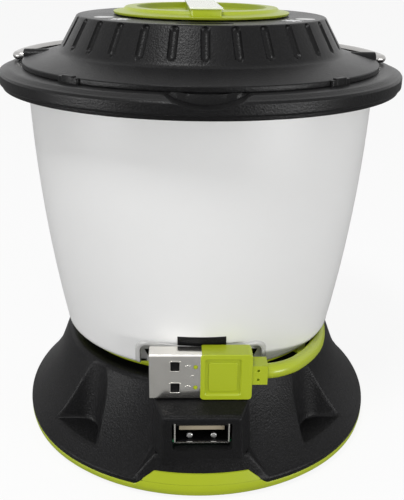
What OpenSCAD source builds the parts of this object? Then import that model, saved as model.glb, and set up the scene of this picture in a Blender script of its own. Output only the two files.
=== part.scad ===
// Camping lantern: flared base with a battery and a USB socket, satin diffuser,
// black lid with a rotary dimmer and a wire bail, and a USB lead stowed in the neck.
// The origin is at the centre of the plane that the feet stand on. +Z is up, and the front faces -Y.

/* [Base] */
// Widest diameter of the base
base_d = 100; // [96:0.5:106]
// Diameter of the base at its bottom edge
base_foot_d = 98.2; // [95:0.1:100]
// Diameter of the rim at the top of the base
base_top_d = 74.2; // [74:0.1:77]
// Height of that rim
base_h = 24.1; // [24:0.1:26]
// Wall of the base shell
base_wall = 2; // [1.6:0.1:2.4]
// Height of the coloured band above the floor
band_top = 3.2; // [3:0.1:5]
// Height of the coloured panel at the front
panel_top = 7.5; // [7:0.1:10]
// Half width of the panel along its top edge
panel_half = 11.2; // [9:0.1:13]
// How far the panel's sloping ends run out
panel_flare = 5.6; // [4:0.1:8]
// Diameter of a rubber foot
foot_d = 8; // [6:0.5:10]
// Height that the feet hold the base off the floor
foot_drop = 0.8; // [0.6:0.1:1.5]
// Thickness of the bottom plate
plate_t = 2; // [1.6:0.1:3]
// Height of the flat shelf in each scoop
scoop_z = 8; // [7:0.5:10]
// Distance of the scoops' side walls from the middle plane
scoop_x = 25.5; // [24:0.5:28]
// Distance of the scoops' inner walls from the middle plane
scoop_y = 28.5; // [27:0.5:31]
// Corner radius of a scoop
scoop_r = 6; // [4:0.5:8]

/* [Socket nose] */
// Distance of the nose's front face from the centre line
nose_y = 48; // [47:0.5:50]
// Half width of the nose's front face
nose_half = 9.5; // [9:0.1:11]
// Half width of the nose where it meets the rim
nose_back_half = 11.6; // [11:0.1:13]
// Height of the nose's front top edge
nose_top = 23.1; // [22:0.1:23.8]
// Width of the USB-A socket's shell
socket_w = 13.1; // [13:0.1:13.5]
// Height of the USB-A socket's shell
socket_h = 5.7; // [5.5:0.1:6]
// Length of the socket's shell
socket_l = 14; // [12:0.5:16]
// Height of the socket's centre
socket_z = 17.9; // [17:0.1:18.4]

/* [Neck and lead] */
// Diameter of the neck that the lead winds round
neck_d = 62.4; // [61:0.1:63]
// Diameter of the lead
lead_d = 3.6; // [3:0.1:3.8]
// Length of the plug's metal shell
plug_shell_l = 12; // [11:0.1:12.5]
// Height of the plug's metal shell
plug_shell_h = 12; // [11.5:0.1:12.2]
// Thickness of the plug's metal shell
plug_shell_t = 4.5; // [4:0.1:4.6]
// Length of the plug's moulded grip
plug_grip_l = 12.2; // [11:0.1:14]
// Height of the grip
plug_grip_h = 12.2; // [12.2:0.1:13]
// Thickness of the grip
plug_grip_t = 5; // [5:0.1:6.2]

/* [Diffuser] */
// Height of the diffuser's bottom edge
diffuser_z = 28.9; // [28:0.1:29.2]
// Diameter at the bottom edge
diffuser_bottom_d = 73.6; // [73:0.1:74.5]
// Diameter at the top
diffuser_top_d = 86.4; // [85:0.1:87]
// How far its side bulges past a straight cone
diffuser_bulge = 1.45; // [0.5:0.05:2]
// Wall of the diffuser
diffuser_wall = 1.6; // [1.2:0.1:1.8]
// Width of the plain badge on its front
badge_w = 11.6; // [8:0.1:14]
// Height of the badge
badge_h = 3; // [2:0.1:4]

/* [Lid] */
// Outer diameter of the lid ring
rim_d = 100; // [98:0.5:104]
// Height of the ring's underside
rim_z = 92; // [88:0.5:96]
// Height of the ring from its underside to the ledge
rim_h = 4.7; // [4.4:0.1:6]
// Diameter of the cover's flange
flange_d = 88.6; // [87:0.1:89.5]
// Thickness of the flange at its edge
flange_t = 1.3; // [1:0.1:1.6]
// Diameter at the foot of the cover's cone
cone_foot_d = 70; // [68:0.5:72]
// Diameter at the top of the cone
cone_top_d = 61; // [59:0.5:63]
// Height of the cover from the ledge to its top plate
cover_h = 11.6; // [10:0.1:14]
// Wall of the cover
cover_wall = 1.8; // [1.4:0.1:2.2]
// Number of grooves round the cone
groove_n = 30; // [20:1:36]
// Width of a groove
groove_w = 2.1; // [1.6:0.1:2.6]

/* [Bail] */
// Diameter of the wire
wire_d = 2; // [1.6:0.1:2]
// Radius of the bail at the centre of the wire
bail_r = 46.6; // [46.4:0.1:46.8]

/* [Dial] */
// Diameter of the dial
dial_d = 44; // [40:0.5:46]
// Height of the dial's rim
dial_h = 1.7; // [1.4:0.1:2.4]
// Width of the grip bar across the dial
bar_w = 7.4; // [6:0.1:9]
// Height of the bar above the cover
bar_h = 2.9; // [2.6:0.1:5]
// Diameter of the dial's shaft
shaft_d = 6; // [5:0.1:6.5]

/* [Battery and light] */
// Diameter of a battery cell
cell_d = 18.4; // [18:0.1:18.6]
// Length of a battery cell
cell_l = 65; // [60:0.5:66]
// Diameter of the light column
column_d = 20; // [16:0.5:26]
// Number of LEDs on each side of the column
led_n = 3; // [1:1:6]

/* [Fits] */
// Clearance between pieces that are fixed to each other
fit = 0.2; // [0.1:0.05:0.3]
// Radial clearance of a running fit
run_fit = 0.05; // [0.02:0.01:0.1]
// Gap between pieces that move past each other
gap = 0.3; // [0.3:0.05:0.5]

/* [Hidden] */
$fn = 96;
e = 1;                       // overshoot of a cut past the face that it opens
black = "#1d1d1f";
lime = "#aab923";
nickel = "#c9c7c2";
white = "#eeeeea";
board_green = "#1f5b35";

// Base
base_r = base_d / 2;
top_r = base_top_d / 2;
foot_r = base_foot_d / 2;
neck_r = neck_d / 2;
slope = (base_r - 0.4 - top_r) / (base_h - band_top - 2);  // radius gained per mm down the skirt
band_in_r = min(foot_r, base_r) - 3;
plate_r = band_in_r - fit;
plate_top = foot_drop + plate_t;
floor_z = base_h + 0.8;      // floor of the neck channel
seat_z = diffuser_z + 1.4;   // underside of the neck's flange
seat_t = 1.2;
foot_pitch_r = plate_r - foot_d / 2 - 3;
foot_t = foot_drop + plate_t / 2;
screw_r = 1.25;
post_pitch_r = plate_r - 4.5;
post_top = plate_top + 4;
// Nose and socket
nose_step = 1.1;             // rise of the nose's sloping top towards the rim
nose_back = top_r + 5.5;
mouth_w = socket_w + 1;
mouth_h = socket_h + 1.7;
socket_front = nose_y - 0.6;
socket_wall = 0.35;
board_t = 1.6;
board_z = socket_z - socket_h / 2 - board_t;
// Batteries
cell_r = cell_d / 2;
tray_t = 0.8;
cell_z = plate_top + tray_t + fit + cell_r;
// The rear cell's ends stay inside the shell's rim
cell_back_y = sqrt(pow(top_r - base_wall - 0.6, 2) - pow(cell_l / 2, 2));
cell_y = [cell_back_y - cell_d - 0.6, cell_back_y];
// Plug: its shell points to -X, and its front face lies just outside the diffuser
plug_x = -0.4;               // joint between the shell and the grip
plug_z = nose_top + nose_step + fit + plug_grip_h / 2;
plug_top = plug_z + plug_grip_h / 2;
plug_wall = 0.35;
relief_l = 3.6;
gland_angle = 318;           // where the lead enters the neck, measured from +X
// Diffuser: the side is a long arc whose centre lies on the inner side
seal_t = 0.8;
lip_z = seat_z + seat_t + seal_t;
lip_t = 1.2;
lip_in_r = neck_r - 0.7;
diffuser_top = rim_z + rim_h - 1.5 - seal_t;
diffuser_h = diffuser_top - diffuser_z;
plug_y = -(diffuser_r(plug_top) + gap + plug_grip_t / 2);
notch_half = 14.7;           // half width of the notch behind the plug
notch_x = -0.1;
notch_top = plug_top - 1.8;
badge_z = notch_top + badge_h / 2 + 0.7;
// Lid
rim_r = rim_d / 2;
ledge_z = rim_z + rim_h;
flange_r = flange_d / 2;
cover_z = ledge_z + cover_h;  // upper face of the cover's top plate
plate_in_z = cover_z - cover_wall;
foot_r_cone = cone_foot_d / 2;
top_r_cone = cone_top_d / 2;
cone_foot_z = ledge_z + flange_t + 2.8;
bail_z = ledge_z + wire_d / 2 + 0.2;
wire_r = wire_d / 2;
bend_r = 1.4;                // bend between the wire's arc and its pin
ear_in = flange_r - 3.2;
lid_pitch_r = min(flange_r - 6, diffuser_top_d / 2 - 4.9);  // the screws stay inside the seal
// Light column
lamp_z = lip_z + lip_t;       // underside of the lamp floor
lamp_t = 1.5;
column_z = lamp_z + lamp_t;
control_z = ledge_z + 1.6;    // underside of the control board
control_r = foot_r_cone - 7;
column_top = rim_z - 1;
led_w = 12;
led_t = 1.4;
// Dial
dial_r = dial_d / 2;
dial_z = cover_z + gap;
dial_top = dial_z + dial_h;
bar_top = cover_z + bar_h;
shaft_r = shaft_d / 2;
insert_t = 1;

// Outer radius of the diffuser at height z: a cone with a parabolic bulge
function diffuser_r(z) = let (t = (z - diffuser_z) / diffuser_h)
    diffuser_bottom_d / 2 + t * (diffuser_top_d - diffuser_bottom_d) / 2 + 4 * t * (1 - t) * diffuser_bulge;

// Repeats its children at evenly spaced angles
module ring_of(n, first = 0) {
    for (i = [0:n - 1]) rotate(first + i * 360 / n) children();
}

// A flat washer of inner radius r1, outer radius r2 and height h, standing on height z
module washer(r1, r2, h, z = 0) {
    translate([0, 0, z]) difference() {
        cylinder(r = r2, h = h);
        translate([0, 0, -e]) cylinder(r = r1, h = h + 2 * e);
    }
}

// A box from one corner to the opposite one
module box(a, b) {
    translate(a) cube(b - a);
}

// A pan-head screw with its head's underside at the origin and its shank down -Z
module screw(shank_r, shank_l, head_r, head_h) {
    translate([0, 0, -shank_l]) cylinder(r = shank_r, h = shank_l + 0.1, $fn = 24);
    difference() {
        cylinder(r = head_r, h = head_h, $fn = 32);
        translate([0, 0, head_h / 2]) linear_extrude(head_h) {
            square([head_r * 1.3, 0.5], center = true);
            square([0.5, head_r * 1.3], center = true);
        }
    }
}

// Points of an arc of radius r round c, from angle a to angle b in n steps
function arc(c, r, a, b, n) = [for (i = [0:n]) c + r * [cos(a + (b - a) * i / n), sin(a + (b - a) * i / n)]];

// Radius of the skirt's outer surface at height z
function skirt_r(z) = top_r + slope * (base_h - z);

// Outline of the skirt, moved inwards by t
module skirt_half(t) {
    edge_z = band_top + 2;
    polygon(concat(
        [[0, band_top], [base_r - 0.1 - t, band_top], [base_r - t, band_top + 0.8]],
        [[skirt_r(edge_z) - t, edge_z + 0.3], [top_r + 0.5 - t * 0.9, base_h - 0.7 - t * 0.7]],
        [[top_r - 0.3 - t * 0.6, base_h - t], [top_r - 1.4 - t * 0.6, floor_z - t], [0, floor_z - t]]));
}

// Plan of the four scoops, with their walls moved towards the centre by t
module scoop_plan(t) {
    far = base_d;
    for (mx = [0, 1], my = [0, 1]) mirror([mx, 0]) mirror([0, my]) {
        translate([scoop_x - t + scoop_r, scoop_y - t + scoop_r]) circle(r = scoop_r);
        translate([scoop_x - t + scoop_r, scoop_y - t]) square(far);
        translate([scoop_x - t, scoop_y - t + scoop_r]) square(far);
    }
}

// The nose, narrower by t on each side and lower by t
module nose_block(t) {
    intersection() {
        translate([0, 0, band_top]) linear_extrude(base_h) polygon([
            [-nose_half + t, -nose_y + t], [nose_half - t, -nose_y + t],
            [nose_back_half - t, -nose_back], [nose_back_half - t, -top_r + 6],
            [-nose_back_half + t, -top_r + 6], [-nose_back_half + t, -nose_back]]);
        rotate([90, 0, 90]) translate([0, 0, -base_r]) linear_extrude(base_d) polygon([
            [-nose_y - e, panel_top - 0.4 + t], [-nose_y - e, nose_top - t - 0.3],
            [-nose_y + 0.8, nose_top - t], [-nose_back, nose_top + nose_step - t],
            [0, nose_top + nose_step - t], [0, band_top], [-nose_y + 3, band_top]]);
    }
}

// The coloured front panel's outline, looked at from the front, grown by t
module panel_shape(t) {
    rotate([90, 0, 0]) linear_extrude(base_r + e) polygon([
        [-panel_half - panel_flare - t, band_top - e], [panel_half + panel_flare + t, band_top - e],
        [panel_half + panel_flare + t, band_top], [panel_half + t, panel_top + t],
        [-panel_half - t, panel_top + t], [-panel_half - panel_flare - t, band_top]]);
}

// A ring with the skirt's own section between the radii of the panel
module panel_ring(t_out, t_in) {
    difference() {
        rotate_extrude() skirt_half(t_out);
        rotate_extrude() skirt_half(t_in);
    }
}

// ---- Base ----

module base_plate() {
    color(black) difference() {
        translate([0, 0, foot_drop]) cylinder(r = plate_r, h = plate_t);
        ring_of(4, 45) translate([foot_pitch_r, 0, foot_drop - e])
            cylinder(r = foot_d / 2 + fit / 2, h = plate_t / 2 + e);
        ring_of(4) translate([post_pitch_r, 0, 0]) {
            cylinder(r = screw_r + fit, h = plate_top + e, $fn = 32);
            translate([0, 0, -e]) cylinder(r = 2.4, h = foot_drop + 1 + e, $fn = 32);
        }
    }
}

module rubber_feet() {
    color("#2a2a2a") ring_of(4, 45) translate([foot_pitch_r, 0, 0])
        cylinder(r = foot_d / 2, h = foot_t);
}

module base_screws() {
    color(nickel) ring_of(4) translate([post_pitch_r, 0, foot_drop + 1])
        mirror([0, 0, 1]) screw(screw_r, plate_t - 1 + 3.5, 2.2, 0.9);
}

module base_band() {
    color(lime) {
        rotate_extrude() polygon([[band_in_r, foot_drop], [foot_r, foot_drop], [foot_r + 0.6, foot_drop + 0.5],
            [base_r - 0.1, foot_drop + 1.9], [base_r, band_top - 0.2], [base_r - 0.1, band_top],
            [band_in_r, band_top]]);
        intersection() {
            panel_ring(-0.3, base_wall / 2);
            panel_shape(0);
        }
    }
}

module base_shell() {
    posts_z = plate_top + 0.1;
    color(black) {
        difference() {
            union() {
                difference() {
                    rotate_extrude() skirt_half(0);
                    translate([0, 0, scoop_z]) linear_extrude(base_h) scoop_plan(0);
                }
                nose_block(0);
                // Neck and the flange that the diffuser stands on
                translate([0, 0, floor_z - base_wall]) cylinder(r = neck_r, h = seat_z + seat_t - floor_z + base_wall);
                translate([0, 0, seat_z]) cylinder(r = diffuser_bottom_d / 2 - diffuser_wall - fit * 2, h = seat_t);
            }
            difference() {
                translate([0, 0, -0.01]) rotate_extrude() skirt_half(base_wall);
                translate([0, 0, scoop_z - base_wall]) linear_extrude(base_h) scoop_plan(base_wall);
                // Screw posts under the shell
                ring_of(4) translate([post_pitch_r, 0, 0]) cylinder(r = 3, h = base_h);
            }
            nose_block(base_wall);
            translate([0, 0, floor_z - base_wall - e]) cylinder(r = neck_r - base_wall, h = base_h);
            // Socket mouth
            translate([-mouth_w / 2, -nose_y - e, socket_z - mouth_h / 2]) cube([mouth_w, 4, mouth_h]);
            // Room for the coloured panel
            intersection() {
                panel_ring(-1, base_wall / 2 + 0.02);
                panel_shape(0.02);
            }
            ring_of(4) translate([post_pitch_r, 0, band_top - e]) cylinder(r = screw_r, h = 5 + e, $fn = 32);
            // The gland's hole through the neck
            rotate(gland_angle) translate([neck_r - base_wall - 1, 1.8, (floor_z + seat_z) / 2]) rotate([0, 90, 0])
                cylinder(r = 1.6, h = base_wall + 3, $fn = 48);
        }
    }
}

// ---- Battery and charger ----

module battery_cells() {
    color("#2f6db3") for (y = cell_y) translate([-cell_l / 2, y, cell_z]) rotate([0, 90, 0]) {
        cylinder(r = cell_r, h = cell_l);
        cylinder(r = cell_r / 3, h = cell_l + 0.8, $fn = 32);
    }
}

module battery_tray() {
    mid_y = (cell_y[0] + cell_y[1]) / 2;
    width = cell_y[1] - cell_y[0] + cell_d - 3;
    wall_x = cell_l / 2 + 1.2;
    color(black) {
        difference() {
            translate([-wall_x - tray_t, mid_y - width / 2, plate_top]) cube([2 * (wall_x + tray_t), width, 6]);
            translate([-wall_x, mid_y - width / 2 - e, plate_top + tray_t])
                cube([2 * wall_x, width + 2 * e, 6]);
        }
        for (y = cell_y) translate([-cell_l / 4, y, plate_top]) difference() {
            translate([0, -cell_r + 2, 0]) cube([3, cell_d - 4, cell_r]);
            translate([-e, 0, cell_z - plate_top]) rotate([0, 90, 0]) cylinder(r = cell_r + 0.1, h = 3 + 2 * e);
        }
    }
}

module cell_tabs() {
    color(nickel) for (s = [-1, 1]) translate([s * (cell_l / 2 + (s > 0 ? 0.95 : 0.15)), 0, 0])
        box([s > 0 ? 0 : -0.25, cell_y[0] - 4, cell_z - 3], [s > 0 ? 0.25 : 0, cell_y[1] + 4, cell_z + 3]);
}

module power_board() {
    back = cell_y[0] - cell_r - 1.5;
    neck = nose_half - base_wall - 0.5;
    color(board_green) difference() {
        union() {
            translate([-neck, -socket_front + 1.5, board_z]) cube([2 * neck, 12, board_t]);
            translate([-14, -socket_front + 12, board_z]) cube([28, socket_front - 12 + back, board_t]);
        }
        for (s = [-1, 1]) translate([s * 11, back - 5, board_z - e]) cylinder(r = 1, h = board_t + 2 * e, $fn = 24);
    }
    color(black) for (s = [-1, 1]) translate([s * 11, back - 5, plate_top]) {
        cylinder(r = 2.2, h = board_z - plate_top);
        cylinder(r = 1, h = board_z - plate_top + board_t + 0.4, $fn = 24);
    }
}

module charge_chip() {
    color("#333333") {
        translate([-3.5, -27, board_z + board_t]) cube([7, 7, 1.4]);
        for (s = [-1, 1]) translate([s * 9, -29, board_z + board_t]) cylinder(r = 2, h = 4, $fn = 32);
    }
}

module socket_shell() {
    color(nickel) translate([0, -socket_front, socket_z]) difference() {
        translate([-socket_w / 2, 0, -socket_h / 2]) cube([socket_w, socket_l, socket_h]);
        translate([-socket_w / 2 + socket_wall, -e, -socket_h / 2 + socket_wall])
            cube([socket_w - 2 * socket_wall, socket_l - socket_wall + e, socket_h - 2 * socket_wall]);
    }
}

module socket_tongue() {
    tongue_z = socket_z + socket_h / 2 - 2.6;
    color(white) {
        translate([-socket_w / 2 + 1.2, -socket_front + 1, tongue_z]) cube([socket_w - 2.4, socket_l - 2.5, 1.8]);
        translate([-socket_w / 2 + 0.5, -socket_front + socket_l - 1.8, socket_z - socket_h / 2 + 0.5])
            cube([socket_w - 1, 1.3, socket_h - 1]);
    }
}

module socket_contacts() {
    color("#d8b24a") for (i = [-1.5:1.5]) translate([i * 2.3 - 0.5, -socket_front + 2, 0])
        box([0, 0, socket_z + socket_h / 2 - 2.8], [1, socket_l - 4.5, socket_z + socket_h / 2 - 2.6]);
}

// ---- Lead and plug ----

// The lead ends at this block, which fills the neck channel and has a stem through the neck
module lead_gland() {
    stem_z = (floor_z + seat_z) / 2;
    color(lime) rotate(gland_angle) {
        difference() {
            box([neck_r - 1, 0, floor_z + 0.1], [neck_r + lead_d, 3.6, seat_z - 0.1]);
            translate([0, 0, floor_z]) cylinder(r = neck_r, h = seat_z);
        }
        intersection() {
            translate([neck_r - base_wall, 1.8, stem_z]) rotate([0, 90, 0]) cylinder(r = 1.6, h = base_wall + 1, $fn = 48);
            cylinder(r = neck_r + 0.4, h = lamp_z);
        }
    }
}

// Centre line of the lead: angle, radius and height. It leaves the grip at the front,
// tucks under the diffuser's edge at the right, passes round the back
// and makes one more turn in the neck channel, to end at the gland.
lead_route = [
    [-69.4, 43.8, 30.9], [-66.5, 44.3, 30.9], [-60, 43.4, 30.2], [-52, 41.2, 29.0], [-44, 39.3, 27.9],
    [-36, 37.8, 27.1], [-28, 36.4, 26.85], [-20, 35.2, 26.85], [-10, 34.0, 26.9], [0, 33.4, 27.2],
    [12, 33.2, 27.6], [24, 33.2, 27.9], [45, 33.2, 28.1], [90, 33.2, 28.1], [135, 33.2, 28.1],
    [180, 33.2, 28.1], [225, 33.2, 28.1], [270, 33.2, 28.1], [300, 33.2, 28.0], [312, 33.2, 27.8],
    [gland_angle, 33.2, 27.8]];
lead_sides = 8;
lead_steps = 3;

function route_point(p) = [p[1] * cos(p[0]), p[1] * sin(p[0]), p[2]];

// Value at t of the smooth curve through b and c, with a and d as their neighbours
function blend(a, b, c, d, t) = b + t * (0.5 * (c - a)
    + t * ((a - 2.5 * b + 2 * c - 0.5 * d) + t * (0.5 * (d - a) + 1.5 * (b - c))));

function route_polar(i, t) = blend(lead_route[max(i - 1, 0)], lead_route[i], lead_route[i + 1],
    lead_route[min(i + 2, len(lead_route) - 1)], t);

// More steps where neighbouring points lie further apart
function leg_steps(i) = max(1, round((lead_route[i + 1][0] - lead_route[i][0]) / 12));

lead_points = [for (i = [0:len(lead_route) - 2], k = [0:leg_steps(i) - 1])
    route_point(route_polar(i, k / leg_steps(i)))];

function unit(v) = v / norm(v);

// One polyhedron swept along points, with n sides. Its rings stand across the path.
module tube(points, r, n) {
    last = len(points) - 1;
    rings = [for (i = [0:last])
        let (t = unit(points[min(i + 1, last)] - points[max(i - 1, 0)]), u = unit(cross([0, 0, 1], t)),
            v = cross(t, u))
        for (k = [0:n - 1]) points[i] + r * (cos(360 * k / n) * u + sin(360 * k / n) * v)];
    sides = [for (i = [0:last - 1], k = [0:n - 1]) each [
        [i * n + k, i * n + (k + 1) % n, (i + 1) * n + (k + 1) % n],
        [i * n + k, (i + 1) * n + (k + 1) % n, (i + 1) * n + k]]];
    cap_a = [for (k = [1:n - 2]) [0, k + 1, k]];
    cap_b = [for (k = [1:n - 2]) [last * n, last * n + k, last * n + k + 1]];
    polyhedron(points = rings, faces = [for (f = concat(sides, cap_a, cap_b)) [f[0], f[2], f[1]]]);
}

module charge_lead() {
    color(lime) tube(concat(lead_points, [route_point(lead_route[len(lead_route) - 1])]), lead_d / 2, lead_sides);
}

module plug_shell() {
    color(nickel) translate([plug_x - plug_shell_l, plug_y, plug_z]) difference() {
        translate([0, -plug_shell_t / 2, -plug_shell_h / 2]) cube([plug_shell_l, plug_shell_t, plug_shell_h]);
        translate([-e, -plug_shell_t / 2 + plug_wall, -plug_shell_h / 2 + plug_wall])
            cube([plug_shell_l - 1 + e, plug_shell_t - 2 * plug_wall, plug_shell_h - 2 * plug_wall]);
        for (z = [-2.9, 2.9]) translate([5, -plug_shell_t, z - 1.2]) cube([2.1, 2 * plug_shell_t, 2.4]);
    }
}

module plug_insert() {
    color(white) translate([plug_x - plug_shell_l, plug_y, plug_z])
        box([0.4, 0, -plug_shell_h / 2 + 0.5], [plug_shell_l - 1.1, plug_shell_t / 2 - 0.45, plug_shell_h / 2 - 0.5]);
}

module plug_contacts() {
    color("#d8b24a") translate([plug_x - plug_shell_l, plug_y, plug_z]) for (i = [-1.5:1.5])
        box([1.4, -0.2, i * 2.3 - 0.5], [plug_shell_l - 2, 0, i * 2.3 + 0.5]);
}

module plug_grip() {
    r = 0.9;
    color(lime) difference() {
        translate([plug_x, plug_y, plug_z]) rotate([90, 0, 0]) translate([0, 0, -plug_grip_t / 2])
            linear_extrude(plug_grip_t) {
                translate([plug_grip_l / 2, 0]) {
                    square([plug_grip_l, plug_grip_h - 2 * r], center = true);
                    square([plug_grip_l - 2 * r, plug_grip_h], center = true);
                    for (sx = [-1, 1], sz = [-1, 1])
                        translate([sx * (plug_grip_l / 2 - r), sz * (plug_grip_h / 2 - r)]) circle(r = r, $fn = 32);
                }
            }
        // Sunk panel on the front
        translate([plug_x + 1.2, plug_y + plug_grip_t / -2 - e, plug_z - plug_grip_h / 2 + 1.4])
            cube([plug_grip_l - 4.2, e + 0.4, plug_grip_h - 2.8]);
    }
}

module plug_relief() {
    h = 5;
    color(lime) translate([plug_x + plug_grip_l, plug_y, plug_z + 0.4]) difference() {
        translate([0, -2.2, -h / 2]) cube([relief_l, 4.4, h]);
        for (z = [-1.2, 1.2]) translate([1.4, -3, z]) rotate([-90, 0, 0]) cylinder(r = 0.35, h = 1.4, $fn = 24);
    }
}

// ---- Diffuser and light ----

module lower_seal() {
    color("#444444") washer(lip_in_r, diffuser_bottom_d / 2 - diffuser_wall - 1, seal_t, seat_z + seat_t);
}

module diffuser() {
    n = 20;
    heights = [for (i = [0:n]) diffuser_z + diffuser_h * i / n];
    outer = [for (z = heights) [diffuser_r(z), z]];
    inner = [for (i = [n:-1:0]) [diffuser_r(heights[i]) - diffuser_wall, heights[i]]];
    color([0.93, 0.93, 0.92, 0.85]) difference() {
        union() {
            rotate_extrude() polygon(concat(outer, inner));
            washer(lip_in_r, diffuser_r(lip_z) - diffuser_wall / 2, lip_t, lip_z);
        }
        badge_block(fit / 2, 0.6, 1);  // Pocket of the badge
        // Notch that frees the plug, with rounded upper corners
        translate([notch_x, 0, 0]) rotate([90, 0, 0]) linear_extrude(base_r) {
            translate([-notch_half, diffuser_z - e]) square([2 * notch_half, lip_z - diffuser_z + e]);
        }
        translate([notch_x, -diffuser_bottom_d / 2 + diffuser_wall + 0.8, 0]) rotate([90, 0, 0])
            linear_extrude(base_r) {
                for (s = [-1, 1]) translate([s * (notch_half - 2), notch_top - 2]) circle(r = 2);
                translate([-notch_half, diffuser_z - e]) square([2 * notch_half, notch_top - diffuser_z - 2 + e]);
                translate([-notch_half + 2, diffuser_z - e]) square([2 * notch_half - 4, notch_top - diffuser_z + e]);
            }
    }
}

// Block that fits the badge's pocket: grown by t, and it follows the diffuser's side at depth d and stands proud by h
module badge_block(t, d, h) {
    z0 = badge_z - badge_h;
    z1 = badge_z + badge_h;
    intersection() {
        rotate_extrude() polygon([[diffuser_r(z0) - d, z0], [diffuser_r(z0) + h, z0],
            [diffuser_r(z1) + h, z1], [diffuser_r(z1) - d, z1]]);
        rotate([90, 0, 0]) linear_extrude(base_r)
            translate([0, badge_z]) square([badge_w + 2 * t, badge_h + 2 * t], center = true);
    }
}

module badge() {
    color(black) badge_block(0, 0.55, 0.2);
}

module lamp_floor() {
    color(white) difference() {
        translate([0, 0, lamp_z]) cylinder(r = neck_r + 2.6, h = lamp_t);
        translate([0, 0, lamp_z - e]) cylinder(r = 4, h = lamp_t + 2 * e);
        ring_of(3, 90) translate([neck_r - 3.5, 0, lamp_z - e]) cylinder(r = screw_r + fit, h = lamp_t + 2 * e, $fn = 32);
        translate([-neck_r * 1.5, -neck_r - 10, lamp_z - e])
            cube([neck_r * 3, neck_r + 10 - (diffuser_bottom_d / 2 - diffuser_wall - 2), lamp_t + 2 * e]);
    }
    color(black) difference() {
        washer(neck_r - 4.8, neck_r - base_wall - fit, lamp_z - seat_z, seat_z);
        ring_of(3, 90) translate([neck_r - 3.5, 0, seat_z - e]) cylinder(r = screw_r, h = lamp_z, $fn = 32);
    }
}

module floor_screws() {
    color(nickel) ring_of(3, 90) translate([neck_r - 3.5, 0, column_z]) screw(screw_r, 4, 2.1, 1);
}

module light_column() {
    r = column_d / 2;
    color(white) difference() {
        union() {
            translate([0, 0, column_z]) cylinder(r = r, h = column_top - column_z);
            translate([0, 0, column_z]) cylinder(r1 = r + 7, r2 = r, h = 5);
        }
        translate([0, 0, column_z - e]) cylinder(r = r - 1.6, h = column_top);
        // Flats and windows for the two LED boards
        for (s = [-1, 1]) translate([-led_w / 2 - fit, s > 0 ? r - 2.2 : -r - e, column_top - 36])
            cube([led_w + 2 * fit, 2.2 + e, 34]);
    }
}

module led_board(side) {
    r = column_d / 2;
    color(white) translate([-led_w / 2, side > 0 ? r - 2 : -r + 2 - board_t, column_top - 36 + fit])
        cube([led_w, board_t, 34 - 2 * fit]);
}

module led_board_front() led_board(-1);
module led_board_back() led_board(1);

module leds() {
    r = column_d / 2;
    face = r - 2 + board_t;
    color("#f2df77") for (s = [-1, 1], i = [0:led_n - 1])
        translate([-1.75, s > 0 ? face : -face - led_t, column_top - 36 + 34 * (i + 0.5) / led_n - 1.75])
            cube([3.5, led_t, 3.5]);
}

module column_cap() {
    color(white) {
        difference() {
            translate([0, 0, column_top]) cylinder(r = column_d / 2, h = 1.2);
            translate([0, 0, column_top - e]) cylinder(r = 3, h = 1.2 + 2 * e);
        }
        washer(3, column_d / 2 - 4.5, 3, column_top - 3);
    }
}

module harness() {
    color("#c23b2e") for (s = [-1, 1]) translate([s * 1.1, 0, cell_z + cell_r + 0.6])
        cylinder(r = 0.7, h = control_z - cell_z - cell_r - 0.6, $fn = 24);
}

// ---- Lid ----

module upper_seal() {
    color("#444444") washer(diffuser_top_d / 2 - diffuser_wall, diffuser_top_d / 2, seal_t, diffuser_top);
}

module lid_ring() {
    in_r = diffuser_top_d / 2 + fit;
    web_z = ledge_z - 1.5;
    dip_r = 19;
    color(black) difference() {
        rotate_extrude() polygon([[in_r, rim_z], [rim_r - 0.6, rim_z], [rim_r - 0.5, rim_z + 0.8],
            [rim_r - 0.1, rim_z + 1], [rim_r, rim_z + 1.3], [rim_r, ledge_z - 1.4], [rim_r - 0.3, ledge_z - 0.9],
            [rim_r - 0.9, ledge_z - 0.7], [rim_r - 2.1, ledge_z - 0.1], [rim_r - 2.5, ledge_z],
            [column_d / 2 + 4, ledge_z], [column_d / 2 + 4, web_z], [in_r, web_z]]);
        // Dip at the front for a finger under the folded bail
        translate([0, -flange_r - 0.5, ledge_z - 2.6 + dip_r]) rotate([90, 0, 0]) cylinder(r = dip_r, h = rim_r);
        for (a = [50, 130, 230, 310]) rotate(a) translate([flange_r - 3.2, -3.2, web_z - e]) cube([4, 6.4, 5]);
        ring_of(3, 90) translate([lid_pitch_r, 0, web_z - e]) cylinder(r = screw_r + fit, h = 4, $fn = 32);
    }
}

module snap_tabs() {
    web_z = ledge_z - 1.5;
    color(black) for (a = [50, 130, 230, 310]) rotate(a) {
        box([flange_r - 3, -3, web_z], [flange_r + 0.6, 3, ledge_z]);
        box([flange_r + 0.1, -1.8, ledge_z - 0.1], [flange_r + 0.6, 1.8, ledge_z + flange_t]);
    }
}

module ring_screws() {
    color(nickel) ring_of(3, 90) translate([lid_pitch_r, 0, ledge_z - 1.5]) mirror([0, 0, 1])
        screw(screw_r, 1.5 + 2, 2.1, 1);
}

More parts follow.
